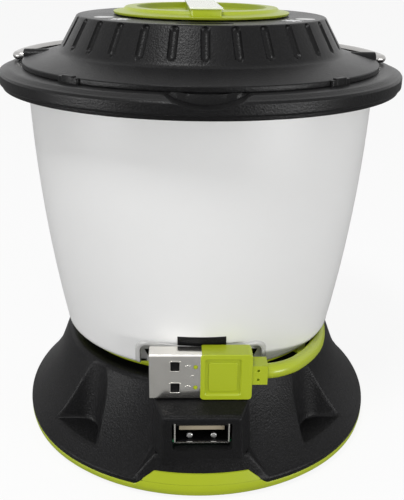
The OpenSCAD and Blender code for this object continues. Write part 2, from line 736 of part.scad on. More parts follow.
module lid_cover() {
    lean = atan2(foot_r_cone - top_r_cone, cover_z - cone_foot_z);
    groove_l = (cover_z - cone_foot_z) / cos(lean) - 2.2;
    mid_r = (foot_r_cone + top_r_cone) / 2 + 0.25;
    mid_z = (cover_z + cone_foot_z) / 2 - 0.3;
    in_foot = foot_r_cone - 1.4;
    color(black) difference() {
        union() {
            rotate_extrude() polygon(concat(
                [[0, ledge_z], [flange_r, ledge_z], [flange_r, ledge_z + flange_t - 0.4],
                    [flange_r - 0.4, ledge_z + flange_t], [foot_r_cone + 3.4, cone_foot_z - 1.4],
                    [foot_r_cone + 1.3, cone_foot_z - 0.8], [foot_r_cone, cone_foot_z + 0.8]],
                arc([top_r_cone - 1, cover_z - 1], 1, 20, 90, 4), [[0, cover_z]]));
            // Ears that carry the bail
            for (s = [-1, 1]) translate([s * (ear_in + flange_r + 0.2) / 2, 0, ledge_z]) {
                w = flange_r + 0.2 - ear_in;
                translate([-w / 2, -2.6, 0]) cube([w, 5.2, bail_z - ledge_z]);
                intersection() {
                    translate([-w / 2, 0, bail_z - ledge_z]) rotate([0, 90, 0]) cylinder(r = 2.6, h = w, $fn = 48);
                    translate([-w, -4, 0]) cube([2 * w, 8, 8]);
                }
            }
        }
        difference() {
            rotate_extrude() polygon([[0, ledge_z - e], [in_foot, ledge_z - e], [in_foot, cone_foot_z],
                [top_r_cone - cover_wall, plate_in_z], [0, plate_in_z]]);
            // Posts for the control board
            ring_of(3, 90) translate([control_r - 3.5, 0, 0]) cylinder(r = 2.6, h = cover_z, $fn = 32);
        }
        translate([0, 0, ledge_z - e]) ring_of(3, 90) translate([control_r - 3.5, 0, 0])
            cylinder(r = 4, h = control_z + board_t - ledge_z + e, $fn = 32);
        ring_of(3, 90) translate([control_r - 3.5, 0, control_z]) cylinder(r = screw_r, h = 6, $fn = 32);
        // Bores for the bail's pins
        for (s = [-1, 1]) translate([s * (ear_in - 0.5), 0, bail_z]) rotate([0, s * 90, 0])
            cylinder(r = wire_r + run_fit, h = 6, $fn = 48);
        // Grooves down the cone
        ring_of(groove_n, -90) translate([mid_r, 0, mid_z]) rotate([0, -lean, 0])
            translate([0, 0, -groove_l / 2]) cylinder(r = groove_w / 2, h = groove_l, $fn = 24);
        // Bore for the dial's shaft
        translate([0, 0, plate_in_z - e]) cylinder(r = shaft_r + run_fit, h = cover_wall + 2 * e);
        // Slot of the battery window
        translate([0, -window_r, plate_in_z - e]) linear_extrude(cover_wall + 2 * e) window_shape(fit / 2);
        // Screws from the ring
        ring_of(3, 90) translate([lid_pitch_r, 0, ledge_z - e]) cylinder(r = screw_r, h = e + 2.2, $fn = 32);
    }
}

module control_board() {
    color(board_green) difference() {
        translate([0, 0, control_z]) cylinder(r = control_r, h = board_t);
        ring_of(3, 90) translate([control_r - 3.5, 0, control_z - e]) cylinder(r = screw_r + fit, h = board_t + 2 * e, $fn = 32);
        translate([0, 0, control_z - e]) cylinder(r = 2.4, h = board_t + 2 * e);
    }
}

module board_screws() {
    color(nickel) ring_of(3, 90) translate([control_r - 3.5, 0, control_z]) mirror([0, 0, 1])
        screw(screw_r, board_t + 3, 1.9, 0.9);
}

module dimmer_pot() {
    body_z = control_z + board_t;
    color("#3c5a8a") difference() {
        union() {
            translate([0, 0, body_z]) cylinder(r = 8, h = 3.4);
            translate([0, 0, body_z + 3.4]) cylinder(r = 4.4, h = plate_in_z - body_z - 3.4);
        }
        translate([0, 0, body_z + 1]) cylinder(r = shaft_r + run_fit, h = cover_h);
    }
}

window_r = (dial_r + top_r_cone) / 2 - 0.3;
window_w = 12.4;
window_h = 2.2;

// Plan of the battery window, grown by t all round
module window_shape(t) {
    square([window_w - window_h, window_h + 2 * t], center = true);
    for (s = [-1, 1]) translate([s * (window_w - window_h) / 2, 0]) circle(r = window_h / 2 + t, $fn = 32);
}

module battery_window() {
    color([0.75, 0.78, 0.8, 0.6]) translate([0, -window_r, 0]) {
        translate([0, 0, plate_in_z]) linear_extrude(cover_wall - 0.2) window_shape(0);
        translate([-window_w / 2 - 1, -window_h / 2 - 0.3, plate_in_z - 1.2]) cube([window_w + 2, window_h + 0.6, 1.2]);
    }
}

module battery_lights() {
    led_z = control_z + board_t;
    color("#6fd34b") for (i = [-1.5:1.5]) translate([i * 3 - 0.8, -control_r + 3, led_z]) cube([1.6, 0.8, 0.8]);
}

// ---- Bail ----

// The wire lies flat and folded to the back. Each end turns inwards in a small bend and is its own pin.
module bail_handle() {
    pin_in = ear_in + 0.4;
    color(nickel) translate([0, 0, bail_z]) {
        translate([0, bend_r, 0]) rotate_extrude(angle = 180) translate([bail_r, 0]) circle(r = wire_r, $fn = 48);
        for (m = [0, 1]) mirror([m, 0, 0]) {
            translate([bail_r - bend_r, bend_r, 0]) rotate([0, 0, -90])
                rotate_extrude(angle = 90) translate([bend_r, 0]) circle(r = wire_r, $fn = 48);
            translate([pin_in, 0, 0]) rotate([0, 90, 0]) cylinder(r = wire_r, h = bail_r - bend_r - pin_in, $fn = 48);
        }
    }
}

// ---- Dial ----

module dial_shaft() {
    color(nickel) translate([0, 0, control_z + board_t + 1.3])
        cylinder(r = shaft_r, h = dial_z + 1.2 - control_z - board_t - 1.3);
}

module dial_knob() {
    floor_t = 0.6;
    color(lime) difference() {
        union() {
            translate([0, 0, dial_z]) rotate_extrude() polygon([[0, 0], [dial_r - 0.3, 0], [dial_r, 0.3],
                [dial_r, dial_h - 0.9], [dial_r - 0.9, dial_h - 0.2], [dial_r - 1.5, dial_h],
                [dial_r - 2.4, dial_h], [dial_r - 3.2, floor_t], [0, floor_t]]);
            intersection() {
                box([-bar_w / 2, -dial_r, dial_z + floor_t - 0.1], [bar_w / 2, dial_r, bar_top - insert_t]);
                cylinder(r = dial_r - 0.6, h = 2 * bar_top);
            }
        }
        translate([0, 0, dial_z - e]) cylinder(r = shaft_r, h = e + 1.2);
    }
}

module dial_insert() {
    color([0.95, 0.97, 0.88, 0.9]) intersection() {
        box([-bar_w / 2 + 0.3, -dial_r, bar_top - insert_t], [bar_w / 2 - 0.3, dial_r, bar_top]);
        cylinder(r = dial_r - 2.5, h = 2 * bar_top);
    }
}

base_plate();
rubber_feet();
base_screws();
base_band();
base_shell();
battery_cells();
battery_tray();
cell_tabs();
power_board();
charge_chip();
socket_shell();
socket_tongue();
socket_contacts();
lead_gland();
charge_lead();
plug_shell();
plug_insert();
plug_contacts();
plug_grip();
plug_relief();
lower_seal();
diffuser();
badge();
lamp_floor();
floor_screws();
light_column();
led_board_front();
led_board_back();
leds();
column_cap();
harness();
upper_seal();
lid_ring();
snap_tabs();
ring_screws();
lid_cover();
control_board();
board_screws();
dimmer_pot();
battery_window();
battery_lights();
bail_handle();
dial_shaft();
dial_knob();
dial_insert();
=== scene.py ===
"""Camping lantern: the finish of its surfaces and the finer shapes of its visible pieces."""

import math

import bmesh
import bpy
import numpy as np
from mathutils import Matrix, Vector


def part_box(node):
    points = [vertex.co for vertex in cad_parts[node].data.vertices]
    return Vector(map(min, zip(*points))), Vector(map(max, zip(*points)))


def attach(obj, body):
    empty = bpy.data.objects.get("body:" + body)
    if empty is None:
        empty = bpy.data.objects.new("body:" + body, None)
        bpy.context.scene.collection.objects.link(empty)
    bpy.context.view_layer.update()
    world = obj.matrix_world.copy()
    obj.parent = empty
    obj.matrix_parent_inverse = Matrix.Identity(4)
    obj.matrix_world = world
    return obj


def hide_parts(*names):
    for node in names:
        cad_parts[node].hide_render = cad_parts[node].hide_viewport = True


bl_info = {
    "name": "Camping lantern",
    "version": (1, 0, 0),
    "blender": (4, 5, 0),
    "location": "View3D > Sidebar > Lantern",
    "description": "Builds the lantern's surfaces, finishes and stage on its fixed frame",
    "category": "Add Mesh",
}

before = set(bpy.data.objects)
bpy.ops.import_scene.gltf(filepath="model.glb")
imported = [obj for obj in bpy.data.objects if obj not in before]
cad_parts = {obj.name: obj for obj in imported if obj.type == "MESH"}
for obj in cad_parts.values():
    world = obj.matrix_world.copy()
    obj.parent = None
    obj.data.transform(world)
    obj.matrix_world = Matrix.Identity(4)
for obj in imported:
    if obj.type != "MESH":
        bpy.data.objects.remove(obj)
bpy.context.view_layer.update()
MM = 0.001


def low(node):
    """Lowest corner of a frame node, in millimetres."""
    return np.array(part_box(node)[0]) / MM


def high(node):
    """Highest corner of a frame node, in millimetres."""
    return np.array(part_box(node)[1]) / MM


def middle(node):
    """Middle of a frame node, in millimetres."""
    return (low(node) + high(node)) / 2


# Places that the frame gives, in millimetres
NOSE_Y = -low("base_shell")[1]
SOCKET_Z = middle("socket_shell")[2]
DIFFUSER_Z = low("diffuser")[2]
DIFFUSER_TOP = high("diffuser")[2]
RING_R = high("lid_ring")[0]
RING_Z = low("lid_ring")[2]
LEDGE_Z = high("lid_ring")[2]
FLANGE_R = high("lid_cover")[1]
COVER_Z = high("lid_cover")[2]
DIAL_R = high("dial_knob")[0]
DIAL_Z = low("dial_knob")[2]
BAR_TOP = high("dial_insert")[2]
PLUG_LOW = low("plug_grip")
PLUG_HIGH = high("plug_grip")

# The base, in millimetres
FOOT_R = 50.0
BAND_TOP = 3.2
RIM_TOP_R = 37.1
RIM_TOP_Z = 24.1
SKIRT_SLOPE = 0.6614
SKIRT_HOLLOW = 1.3
SKIRT_SPAN = 20.5
SIDE_FLATNESS = 0.028
CHANNEL_Z = 24.9
BORE_R = 29.3
NECK_R = 31.2
SEAT_R = 34.8
SEAT_Z = 30.3
SEAT_TOP = 31.5
CHIN_TOP = 11.5
CHIN_LEAN = 0.23
CHIN_HALF = 11.3
SHELF_Z = 8.0
SCOOP_X = 25.9
SCOOP_Y = 27.1
SCOOP_ROUND = 6.0

# The diffuser and its notch, in millimetres
DIFFUSER_R = 36.8
DIFFUSER_FLARE = 6.4
DIFFUSER_BULGE = 1.45
DIFFUSER_WALL = 1.6
NOTCH_HALF = 14.7
NOTCH_ROUND = 2.0
NOTCH_X = -0.1
NOTCH_TOP = PLUG_HIGH[2] - 1.8

# The lid, in millimetres
CONE_FOOT_R = 35.0
CONE_TOP_R = 30.5
DIP_R = 16

# How far the dial's bar is turned from straight, in degrees
DIAL_ASKEW = 1.5


def millimetres(name, description, default):
    """A length in millimetres that a user may change."""
    return bpy.props.FloatProperty(name=name, description=description + ", in mm", default=default, min=0.0)


def paint(name, description, default):
    """A colour that a user may change, as linear values."""
    return bpy.props.FloatVectorProperty(name=name, description=description, subtype="COLOR", default=default)


class LanternSizes(bpy.types.PropertyGroup):
    """Sizes of the finer shapes."""

    grooves: bpy.props.IntProperty(name="Grooves", description="Grooves round the lid's cone", default=30, min=12)
    groove_width: millimetres("Groove width", "Width of a groove", 2.1)
    groove_depth: millimetres("Groove depth", "Depth of a groove", 0.75)
    scoop_draft: bpy.props.FloatProperty(
        name="Scoop draft", description="Lean of a scoop's walls, mm per mm", default=0.2, min=0.02)
    grain: millimetres("Grain", "Size of the moulded grain", 0.32)
    lead_diameter: millimetres("Lead", "Diameter of the lead", 3.6)


class LanternColours(bpy.types.PropertyGroup):
    """Colours of the finishes."""

    black: paint("Black", "Moulded black", (0.0055, 0.0054, 0.0056))
    lime: paint("Lime", "Lime plastic", (0.345, 0.415, 0.012))
    satin: paint("Satin", "Diffuser", (0.75, 0.75, 0.745))
    nickel: paint("Nickel", "Bright plated metal", (0.87, 0.85, 0.80))


# ---- Shader maths ----


class Socket:
    """A shader value that Python's operators work on."""

    def __init__(self, graph, out):
        self.graph = graph
        self.out = out

    def math(self, operation, *values):
        """A Math node that works on this value and on others."""
        return self.graph.node("ShaderNodeMath", {"operation": operation}, dict(enumerate((self,) + values)))

    def __add__(self, other):
        return self.math("ADD", other)

    __radd__ = __add__

    def __sub__(self, other):
        return self.math("SUBTRACT", other)

    def __rsub__(self, other):
        return self.graph.node("ShaderNodeMath", {"operation": "SUBTRACT"}, {0: other, 1: self})

    def __mul__(self, other):
        return self.math("MULTIPLY", other)

    __rmul__ = __mul__

    def __lt__(self, other):
        return self.math("LESS_THAN", other)

    def clamp(self):
        """This value held between 0 and 1."""
        return self.graph.node("ShaderNodeClamp", {}, {0: self})


class Graph:
    """The nodes of a material or of the world, whose shader is the one named last."""

    def __init__(self, owner, last="Principled BSDF"):
        owner.use_nodes = True
        self.owner = owner
        self.tree = owner.node_tree
        self.shader = self.tree.nodes[last]

    def node(self, kind, settings, inputs, output=0):
        """A node of a type, with its settings made first and then its inputs given or linked."""
        item = self.tree.nodes.new(kind)
        for key, value in settings.items():
            setattr(item, key, value)
        for key, value in inputs.items():
            self.give(item.inputs[key], value)
        return Socket(self, item.outputs[output])

    def give(self, target, value):
        """Links a value to an input, or sets a plain number or colour on it."""
        if isinstance(value, Socket):
            self.tree.links.new(value.out, target)
        else:
            target.default_value = value

    def place(self):
        """Object coordinates, in metres."""
        return self.node("ShaderNodeTexCoord", {}, {}, "Object")

    def noise(self, size_mm, detail=2.0, rough=0.5):
        """Noise whose features are about size_mm across."""
        return self.node("ShaderNodeTexNoise", {}, {
            "Vector": self.place(), "Scale": 1.0 / (size_mm * MM), "Detail": detail, "Roughness": rough}, "Fac")

    def cells(self, size_mm):
        """Distance to the nearest of scattered points about size_mm apart."""
        return self.node("ShaderNodeTexVoronoi", {}, {
            "Vector": self.place(), "Scale": 1.0 / (size_mm * MM)}, "Distance")

    def mix(self, factor, a, b):
        """Colour a where factor is 0 and b where it is 1."""
        return self.node("ShaderNodeMix", {"data_type": "RGBA"}, {0: factor, 6: a, 7: b}, 2)

    def shaded(self, factor, colour, dark, light):
        """A colour whose brightness goes from dark, where factor is 0, to light, where it is 1."""
        return self.mix(factor, rgba(colour, dark), rgba(colour, light))

    def bump(self, height, strength, depth_mm):
        """A normal that follows a height from 0 to 1 over depth_mm."""
        return self.node("ShaderNodeBump", {}, {
            "Strength": strength, "Distance": depth_mm * MM, "Height": height}, "Normal")

    def finish(self, **inputs):
        """Gives the shader its inputs: names with spaces are written with underscores."""
        for key, value in inputs.items():
            self.give(self.shader.inputs[key.replace("_", " ")], value)
        return self.owner


def rgba(colour, gain=1.0):
    """A colour with full alpha, its brightness multiplied by gain."""
    return (*(min(1.0, c * gain) for c in colour), 1.0)


def moulded(name, colour, grain_mm, strength, roughness, spread=0.08, shade=0.12, gloss=0.5, glint_paint=0.0):
    """Moulded plastic: a fine leathery grain, faint cloudy shade and roughness that varies with both.

    The grain's highest points may be dotted with pale spots: painted highlights that stand for glints."""
    g = Graph(bpy.data.materials.new(name))
    grain = g.noise(grain_mm, 3.0, 0.6)
    pits = g.cells(grain_mm * 1.6)
    cloud = g.noise(14.0, 2.0)
    # painted highlights: pale spots, mixed into the base colour below, that stand for glints off the grain
    painted_glints = ((g.noise(grain_mm * 0.45, 1.0) - 0.52) * 5.0).clamp() * glint_paint
    base = g.shaded(cloud * 0.6 + grain * 0.4, colour, 1 - shade, 1 + shade)
    return g.finish(
        Base_Color=g.mix(painted_glints, base, (0.16, 0.16, 0.17, 1.0)),
        Roughness=(cloud - 0.5) * spread + (grain - 0.5) * spread * 1.5 + roughness,
        Normal=g.bump(grain * 0.7 + pits * 0.5, strength, grain_mm * 0.25),
        Specular_IOR_Level=gloss)


def plated(name, colour, roughness):
    """Bright plated metal with faint drawn lines and cloudy polish."""
    g = Graph(bpy.data.materials.new(name))
    cloud = g.noise(3.0, 3.0)
    lines = g.node("ShaderNodeTexNoise", {}, {
        "Vector": g.node("ShaderNodeMapping", {}, {"Vector": g.place(), "Scale": (40.0, 4000.0, 4000.0)}),
        "Scale": 1.0, "Detail": 2.0}, "Fac")
    return g.finish(
        Base_Color=g.shaded(cloud, colour, 0.93, 1.04), Metallic=1.0,
        Roughness=cloud * 0.08 + lines * 0.06 + roughness, Normal=g.bump(lines, 0.08, 0.02))


def satin(name, colour):
    """Translucent frosted plastic: a very fine frost over a soft gloss."""
    g = Graph(bpy.data.materials.new(name))
    frost = g.noise(0.25, 2.0)
    cloud = g.noise(30.0, 2.0)
    return g.finish(
        Base_Color=g.shaded(cloud, colour, 0.985, 1.015),
        Roughness=cloud * 0.06 + frost * 0.06 + 0.30, Normal=g.bump(frost, 0.05, 0.02),
        Subsurface_Weight=0.25, Subsurface_Radius=(0.004, 0.004, 0.004), Coat_Weight=0.15,
        Coat_Roughness=0.12)


def circuit(name, colour):
    """Solder mask over copper: lighter tracks in square cells and small tinned pads."""
    g = Graph(bpy.data.materials.new(name))
    tracks = g.node("ShaderNodeTexBrick", {}, {
        "Vector": g.place(), "Scale": 260.0, "Mortar Size": 0.012, "Color1": (0, 0, 0, 1), "Color2": (0, 0, 0, 1),
        "Mortar": (1, 1, 1, 1)}, "Fac")
    pads = g.cells(2.6) < 0.16
    base = g.mix(tracks, rgba(colour), rgba(colour, 2.2))
    return g.finish(
        Base_Color=g.mix(pads, base, (0.6, 0.58, 0.5, 1)), Metallic=pads * 0.9, Roughness=0.42 - pads * 0.15,
        Normal=g.bump(tracks + pads, 0.3, 0.05))


def printed(name, colour, roughness):
    """Plain coloured skin with a slight wear and a fine tooth, for wraps, wires and phosphor."""
    g = Graph(bpy.data.materials.new(name))
    tooth = g.noise(0.4, 2.0)
    wear = g.noise(6.0, 4.0)
    return g.finish(
        Base_Color=g.shaded(wear, colour, 0.85, 1.12), Roughness=tooth * 0.15 + roughness,
        Normal=g.bump(tooth, 0.1, 0.03))


def clear(name, colour, alpha):
    """Clear moulded plastic, slightly clouded."""
    g = Graph(bpy.data.materials.new(name))
    cloud = g.noise(5.0, 2.0)
    return g.finish(
        Base_Color=g.shaded(cloud, colour, 0.94, 1.04), Roughness=cloud * 0.1 + 0.12,
        Alpha=cloud * 0.05 + alpha, Coat_Weight=0.4)


def make_finishes(sizes, colours):
    """Every finish of the lantern, by name."""
    grain = sizes.grain
    return {
        # The black and the lid finishes carry pale painted highlights, spots that stand for glints off their grain.
        "black": moulded("grained_black", colours.black, grain, 1.0, 0.34, spread=0.15, shade=0.35, gloss=0.09,
                         glint_paint=0.14),
        "lid": moulded("satin_black", colours.black, grain, 0.7, 0.33, spread=0.12, shade=0.3, gloss=0.13,
                       glint_paint=0.08),
        "rubber": moulded("black_rubber", (0.02, 0.02, 0.02), 0.5, 0.4, 0.8),
        "lime": moulded("lime_plastic", colours.lime, 0.30, 0.12, 0.34, 0.05, 0.05),
        "ivory": moulded("ivory_tongue", (0.36, 0.31, 0.22), 0.3, 0.1, 0.4, 0.05, 0.03),
        "white": moulded("white_plastic", (0.82, 0.82, 0.80), 0.3, 0.12, 0.42, 0.05, 0.03),
        "satin": satin("satin_diffuser", colours.satin),
        # A darker grey satin for the diffuser's hem and the notch's rim: partly the edges' own deeper tint and
        # partly painted shade where they meet the base and the plug.
        "edge_tint_and_shade": satin("satin_edge_tint_and_shade", (0.45, 0.45, 0.44)),
        "nickel": plated("bright_nickel", colours.nickel, 0.12),
        "spring": plated("spring_wire", (0.46, 0.45, 0.44), 0.16),
        "steel": plated("plain_steel", (0.55, 0.55, 0.55), 0.28),
        "gold": plated("gold_flash", (0.83, 0.62, 0.25), 0.2),
        "board": circuit("solder_mask", (0.015, 0.12, 0.05)),
        "wrap": printed("cell_wrap", (0.04, 0.16, 0.5), 0.3),
        "wire": printed("red_wire", (0.5, 0.03, 0.02), 0.4),
        "blue": printed("pot_housing", (0.06, 0.12, 0.32), 0.45),
        "phosphor": printed("led_phosphor", (0.85, 0.72, 0.2), 0.35),
        "insert": clear("pale_insert", (0.86, 0.90, 0.72), 0.9),
        "window": clear("smoked_window", (0.30, 0.31, 0.32), 0.75),
        "print": printed("white_print", (0.80, 0.80, 0.80), 0.5),
    }


# The nodes of the frame, by their finish
FINISH_NODES = {
    "black": ("base_plate", "base_shell", "battery_tray", "charge_chip", "badge"),
    "rubber": ("rubber_feet", "lower_seal", "upper_seal"),
    "steel": ("base_screws", "floor_screws", "ring_screws", "board_screws", "dial_shaft"),
    "lime": ("base_band", "lead_gland", "charge_lead", "plug_grip", "plug_relief", "dial_knob"),
    "wrap": ("battery_cells",),
    "nickel": ("cell_tabs", "socket_shell", "plug_shell"),
    "board": ("power_board", "control_board"),
    "ivory": ("socket_tongue",),
    "gold": ("socket_contacts", "plug_contacts"),
    "white": ("plug_insert", "lamp_floor", "light_column", "led_board_front", "led_board_back", "column_cap"),
    "satin": ("diffuser",),
    "phosphor": ("leds", "battery_lights"),
    "wire": ("harness",),
    "lid": ("lid_ring", "snap_tabs", "lid_cover"),
    "blue": ("dimmer_pot",),
    "window": ("battery_window",),
    "spring": ("bail_handle",),
    "insert": ("dial_insert",),
}
FINISH = {}


# ---- Surfaces ----


def smooth_min(a, b, k):
    """The smaller of a and b, with the corner where they cross rounded over a width k."""
    t = np.clip(0.5 + 0.5 * (b - a) / k, 0, 1)
    return b + (a - b) * t - k * t * (1 - t)


def smooth_max(a, b, k):
    """The larger of a and b, with the corner where they cross rounded over a width k."""
    return -smooth_min(-a, -b, k)


def ramp(x, start, end):
    """0 before start and 1 past end, with an S-shaped rise between."""
    t = np.clip((x - start) / (end - start), 0, 1)
    return t * t * (3 - 2 * t)


def outline(points, steps=5):
    """Points of an open outline whose corners are arcs: each corner is given as (r, z, fillet radius)."""
    pts = np.array([p[:2] for p in points], float)
    parts = [pts[:1]]
    for i in range(1, len(points) - 1):
        before, corner, after = pts[i - 1], pts[i], pts[i + 1]
        a, b = before - corner, after - corner
        la, lb = np.linalg.norm(a), np.linalg.norm(b)
        a, b = a / la, b / lb
        cos = float(np.clip(a @ b, -1, 1))
        half = math.acos(cos) / 2
        radius = points[i][2] if len(points[i]) > 2 else 0
        cut = min(radius / max(math.tan(half), 1e-6), 0.49 * la, 0.49 * lb)
        if cut < 1e-4 or half > math.pi / 2 - 0.01:
            parts.append(corner[None])
            continue
        t = np.linspace(0, 1, steps + 1)[:, None]
        parts.append((1 - t) ** 2 * (corner + a * cut) + 2 * t * (1 - t) * corner + t ** 2 * (corner + b * cut))
    parts.append(pts[-1:])
    return np.concatenate(parts)


def dense(path, step):
    """The same path with points no further apart than step."""
    out = []
    for a, b in zip(path[:-1], path[1:]):
        n = max(1, int(np.ceil(np.linalg.norm(b - a) / step)))
        out.append(a + (b - a) * (np.arange(n) / n)[:, None])
    out.append(path[-1:])
    return np.concatenate(out)


def shade(mesh, angle):
    """Smooth shading, with the edges sharper than an angle in degrees kept sharp."""
    mesh.polygons.foreach_set("use_smooth", np.ones(len(mesh.polygons), bool))
    mesh.set_sharp_from_angle(angle=math.radians(angle))


def in_scene(name, data):
    """A new object of a mesh, a camera or a lamp, in the scene."""
    obj = bpy.data.objects.new(name, data)
    bpy.context.scene.collection.objects.link(obj)
    return obj


def add_object(name, mesh, finish):
    """An object of the mesh, with its finish."""
    mesh.materials.append(FINISH[finish])
    return in_scene(name, mesh)


def unit(v):
    """The same vectors with a length of 1."""
    return v / np.linalg.norm(v, axis=1, keepdims=True)


def make_piece(name, verts, faces, finish, replaces=(), smooth=35.0, body="body"):
    """A mesh object from points in millimetres, with its finish, its body and the nodes it stands for."""
    mesh = bpy.data.meshes.new(name)
    mesh.from_pydata(np.asarray(verts, float).reshape(-1, 3) * MM, [], np.asarray(faces).tolist())
    mesh.update()
    mesh.validate()
    obj = add_object(name, mesh, finish)
    shade(mesh, smooth)
    stand_for(obj, body, replaces)
    return obj


def stand_for(obj, body, replaces):
    """Tells the frame which body a piece rides on and which nodes it stands for."""
    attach(obj, body)
    if replaces:
        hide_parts(*replaces)


def grid_faces(rows, cols, wrap_rows, wrap_cols):
    """Quads of a grid of rows by cols points, joined end to start where it wraps."""
    i = np.arange(rows if wrap_rows else rows - 1)[:, None]
    j = np.arange(cols if wrap_cols else cols - 1)[None]
    i2, j2 = (i + 1) % rows, (j + 1) % cols
    return np.stack([i * cols + j, i * cols + j2, i2 * cols + j2, i2 * cols + j], -1).reshape(-1, 4)


def turned(path, angles):
    """Radius, angle and height grids of an outline turned about the axis."""
    r, z = path[:, :1], path[:, 1:2]
    th = np.asarray(angles)[None]
    return r + 0 * th, th + 0 * r, z + 0 * th


def round_points(r, th, z):
    """Points from polar grids."""
    return np.stack([r * np.cos(th), r * np.sin(th), z], -1)


def turned_piece(name, path, n, finish, replaces=(), shape=None, smooth=35.0, body="body"):
    """A closed outline turned about the axis in n steps: shape moves the grids before they become points."""
    grids = turned(path, full_circle(n))
    if shape:
        grids = shape(*grids)
    faces = grid_faces(len(path), n, True, True)
    return make_piece(name, round_points(*grids), faces, finish, replaces, smooth, body)


def close_ends(obj):
    """Joins points that coincide, fills the open ends and turns the faces outwards."""
    work = bmesh.new()
    work.from_mesh(obj.data)
    bmesh.ops.remove_doubles(work, verts=work.verts, dist=1e-6)
    bmesh.ops.holes_fill(work, edges=[e for e in work.edges if e.is_boundary], sides=0)
    bmesh.ops.recalc_face_normals(work, faces=work.faces)
    work.to_mesh(obj.data)
    work.free()


def full_circle(n):
    """Angles of n points evenly round a circle."""
    return np.arange(n) * 2 * np.pi / n


def eased(obj, width, segments=3, angle=30.0):
    """A live bevel, width millimetres wide, on a piece's edges that turn by more than angle degrees."""
    ease = obj.modifiers.new("ease", "BEVEL")
    ease.width = width * MM
    ease.segments = segments
    ease.limit_method = "ANGLE"
    ease.angle_limit = math.radians(angle)
    ease.harden_normals = True


def eased_copy(name, node, width, finish, segments=3):
    """The node's own solid, with its points merged and its edges rounded by width millimetres."""
    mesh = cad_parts[node].data.copy()
    mesh.name = name
    mesh.materials.clear()
    obj = add_object(name, mesh, finish)
    weld = obj.modifiers.new("weld", "WELD")
    weld.merge_threshold = 1e-6
    flat = obj.modifiers.new("flat", "DECIMATE")
    flat.decimate_type = "DISSOLVE"
    flat.angle_limit = math.radians(2)
    eased(obj, width, segments, 40)
    stand_for(obj, "body", [node])


def carved(obj, *cutters):
    """Takes the cutters' volumes out of a piece, exactly, and deletes the cutters."""
    for cutter in cutters:
        mod = obj.modifiers.new("cut", "BOOLEAN")
        mod.operation = "DIFFERENCE"
        mod.solver = "EXACT"
        mod.object = cutter
    view = bpy.context.evaluated_depsgraph_get()
    view.update()
    mesh = bpy.data.meshes.new_from_object(obj.evaluated_get(view), depsgraph=view)
    name = obj.data.name
    obj.modifiers.clear()
    obj.data = mesh
    mesh.name = name + "_cut"
    mesh.polygons.foreach_set("material_index", np.zeros(len(mesh.polygons), np.int32))
    while len(mesh.materials) > 1:
        mesh.materials.pop(index=len(mesh.materials) - 1)
    shade(mesh, 35)
    for cutter in cutters:
        bpy.data.objects.remove(cutter)


def solid(name, plan, z0, z1, finish="black", turn=None):
    """A plan outline, anticlockwise, carried from height z0 to z1; turn maps its points to other axes.

    By itself it is a cutter, which rides on no body."""
    plan = np.asarray(plan, float)
    n = len(plan)
    verts = np.concatenate([np.c_[plan, np.full(n, z0)], np.c_[plan, np.full(n, z1)]])
    if turn is not None:
        verts = turn(verts)
    mesh = bpy.data.meshes.new(name)
    i = np.arange(n)
    after = np.roll(i, -1)
    sides = np.c_[i, after, n + after, n + i]
    mesh.from_pydata(verts * MM, [], sides.tolist() + [i[::-1].tolist(), (n + i).tolist()])
    obj = add_object(name, mesh, finish)
    shade(mesh, 35)
    return obj


def prism(name, plan, z0, z1, finish, body="body", turn=None, replaces=()):
    """A solid that is a piece of its own, with its body and the nodes it stands for."""
    obj = solid(name, plan, z0, z1, finish, turn)
    stand_for(obj, body, replaces)
    return obj


def rounded(w, h, r, steps=6, centre=(0, 0)):
    """Plan of a rectangle w by h with corners of radius r, anticlockwise."""
    a = np.linspace(0, np.pi / 2, steps + 1)
    x, y = w / 2 - r, h / 2 - r
    corners = [(x, y, 0), (-x, y, 1), (-x, -y, 2), (x, -y, 3)]
    pts = [np.c_[x + r * np.cos(a + q * np.pi / 2), y + r * np.sin(a + q * np.pi / 2)] for x, y, q in corners]
    return np.concatenate(pts) + np.array(centre)


def disc(radius, centre, n=24):
    """Plan of a circle of n points."""
    a = full_circle(n)
    return np.c_[radius * np.cos(a) + centre[0], radius * np.sin(a) + centre[1]]


def spun(angle):
    """A turn about the axis by an angle in degrees."""
    cos, sin = math.cos(math.radians(angle)), math.sin(math.radians(angle))
    return lambda v: v @ np.array([[cos, sin, 0], [-sin, cos, 0], [0, 0, 1]])


def facing_front(y=0.0):
    """Maps a prism's plan to (x, z), and its height to a distance from the plane at y towards -Y."""
    return lambda v: np.c_[v[:, 0], y - v[:, 2], v[:, 1]]


# ---- The lid ----


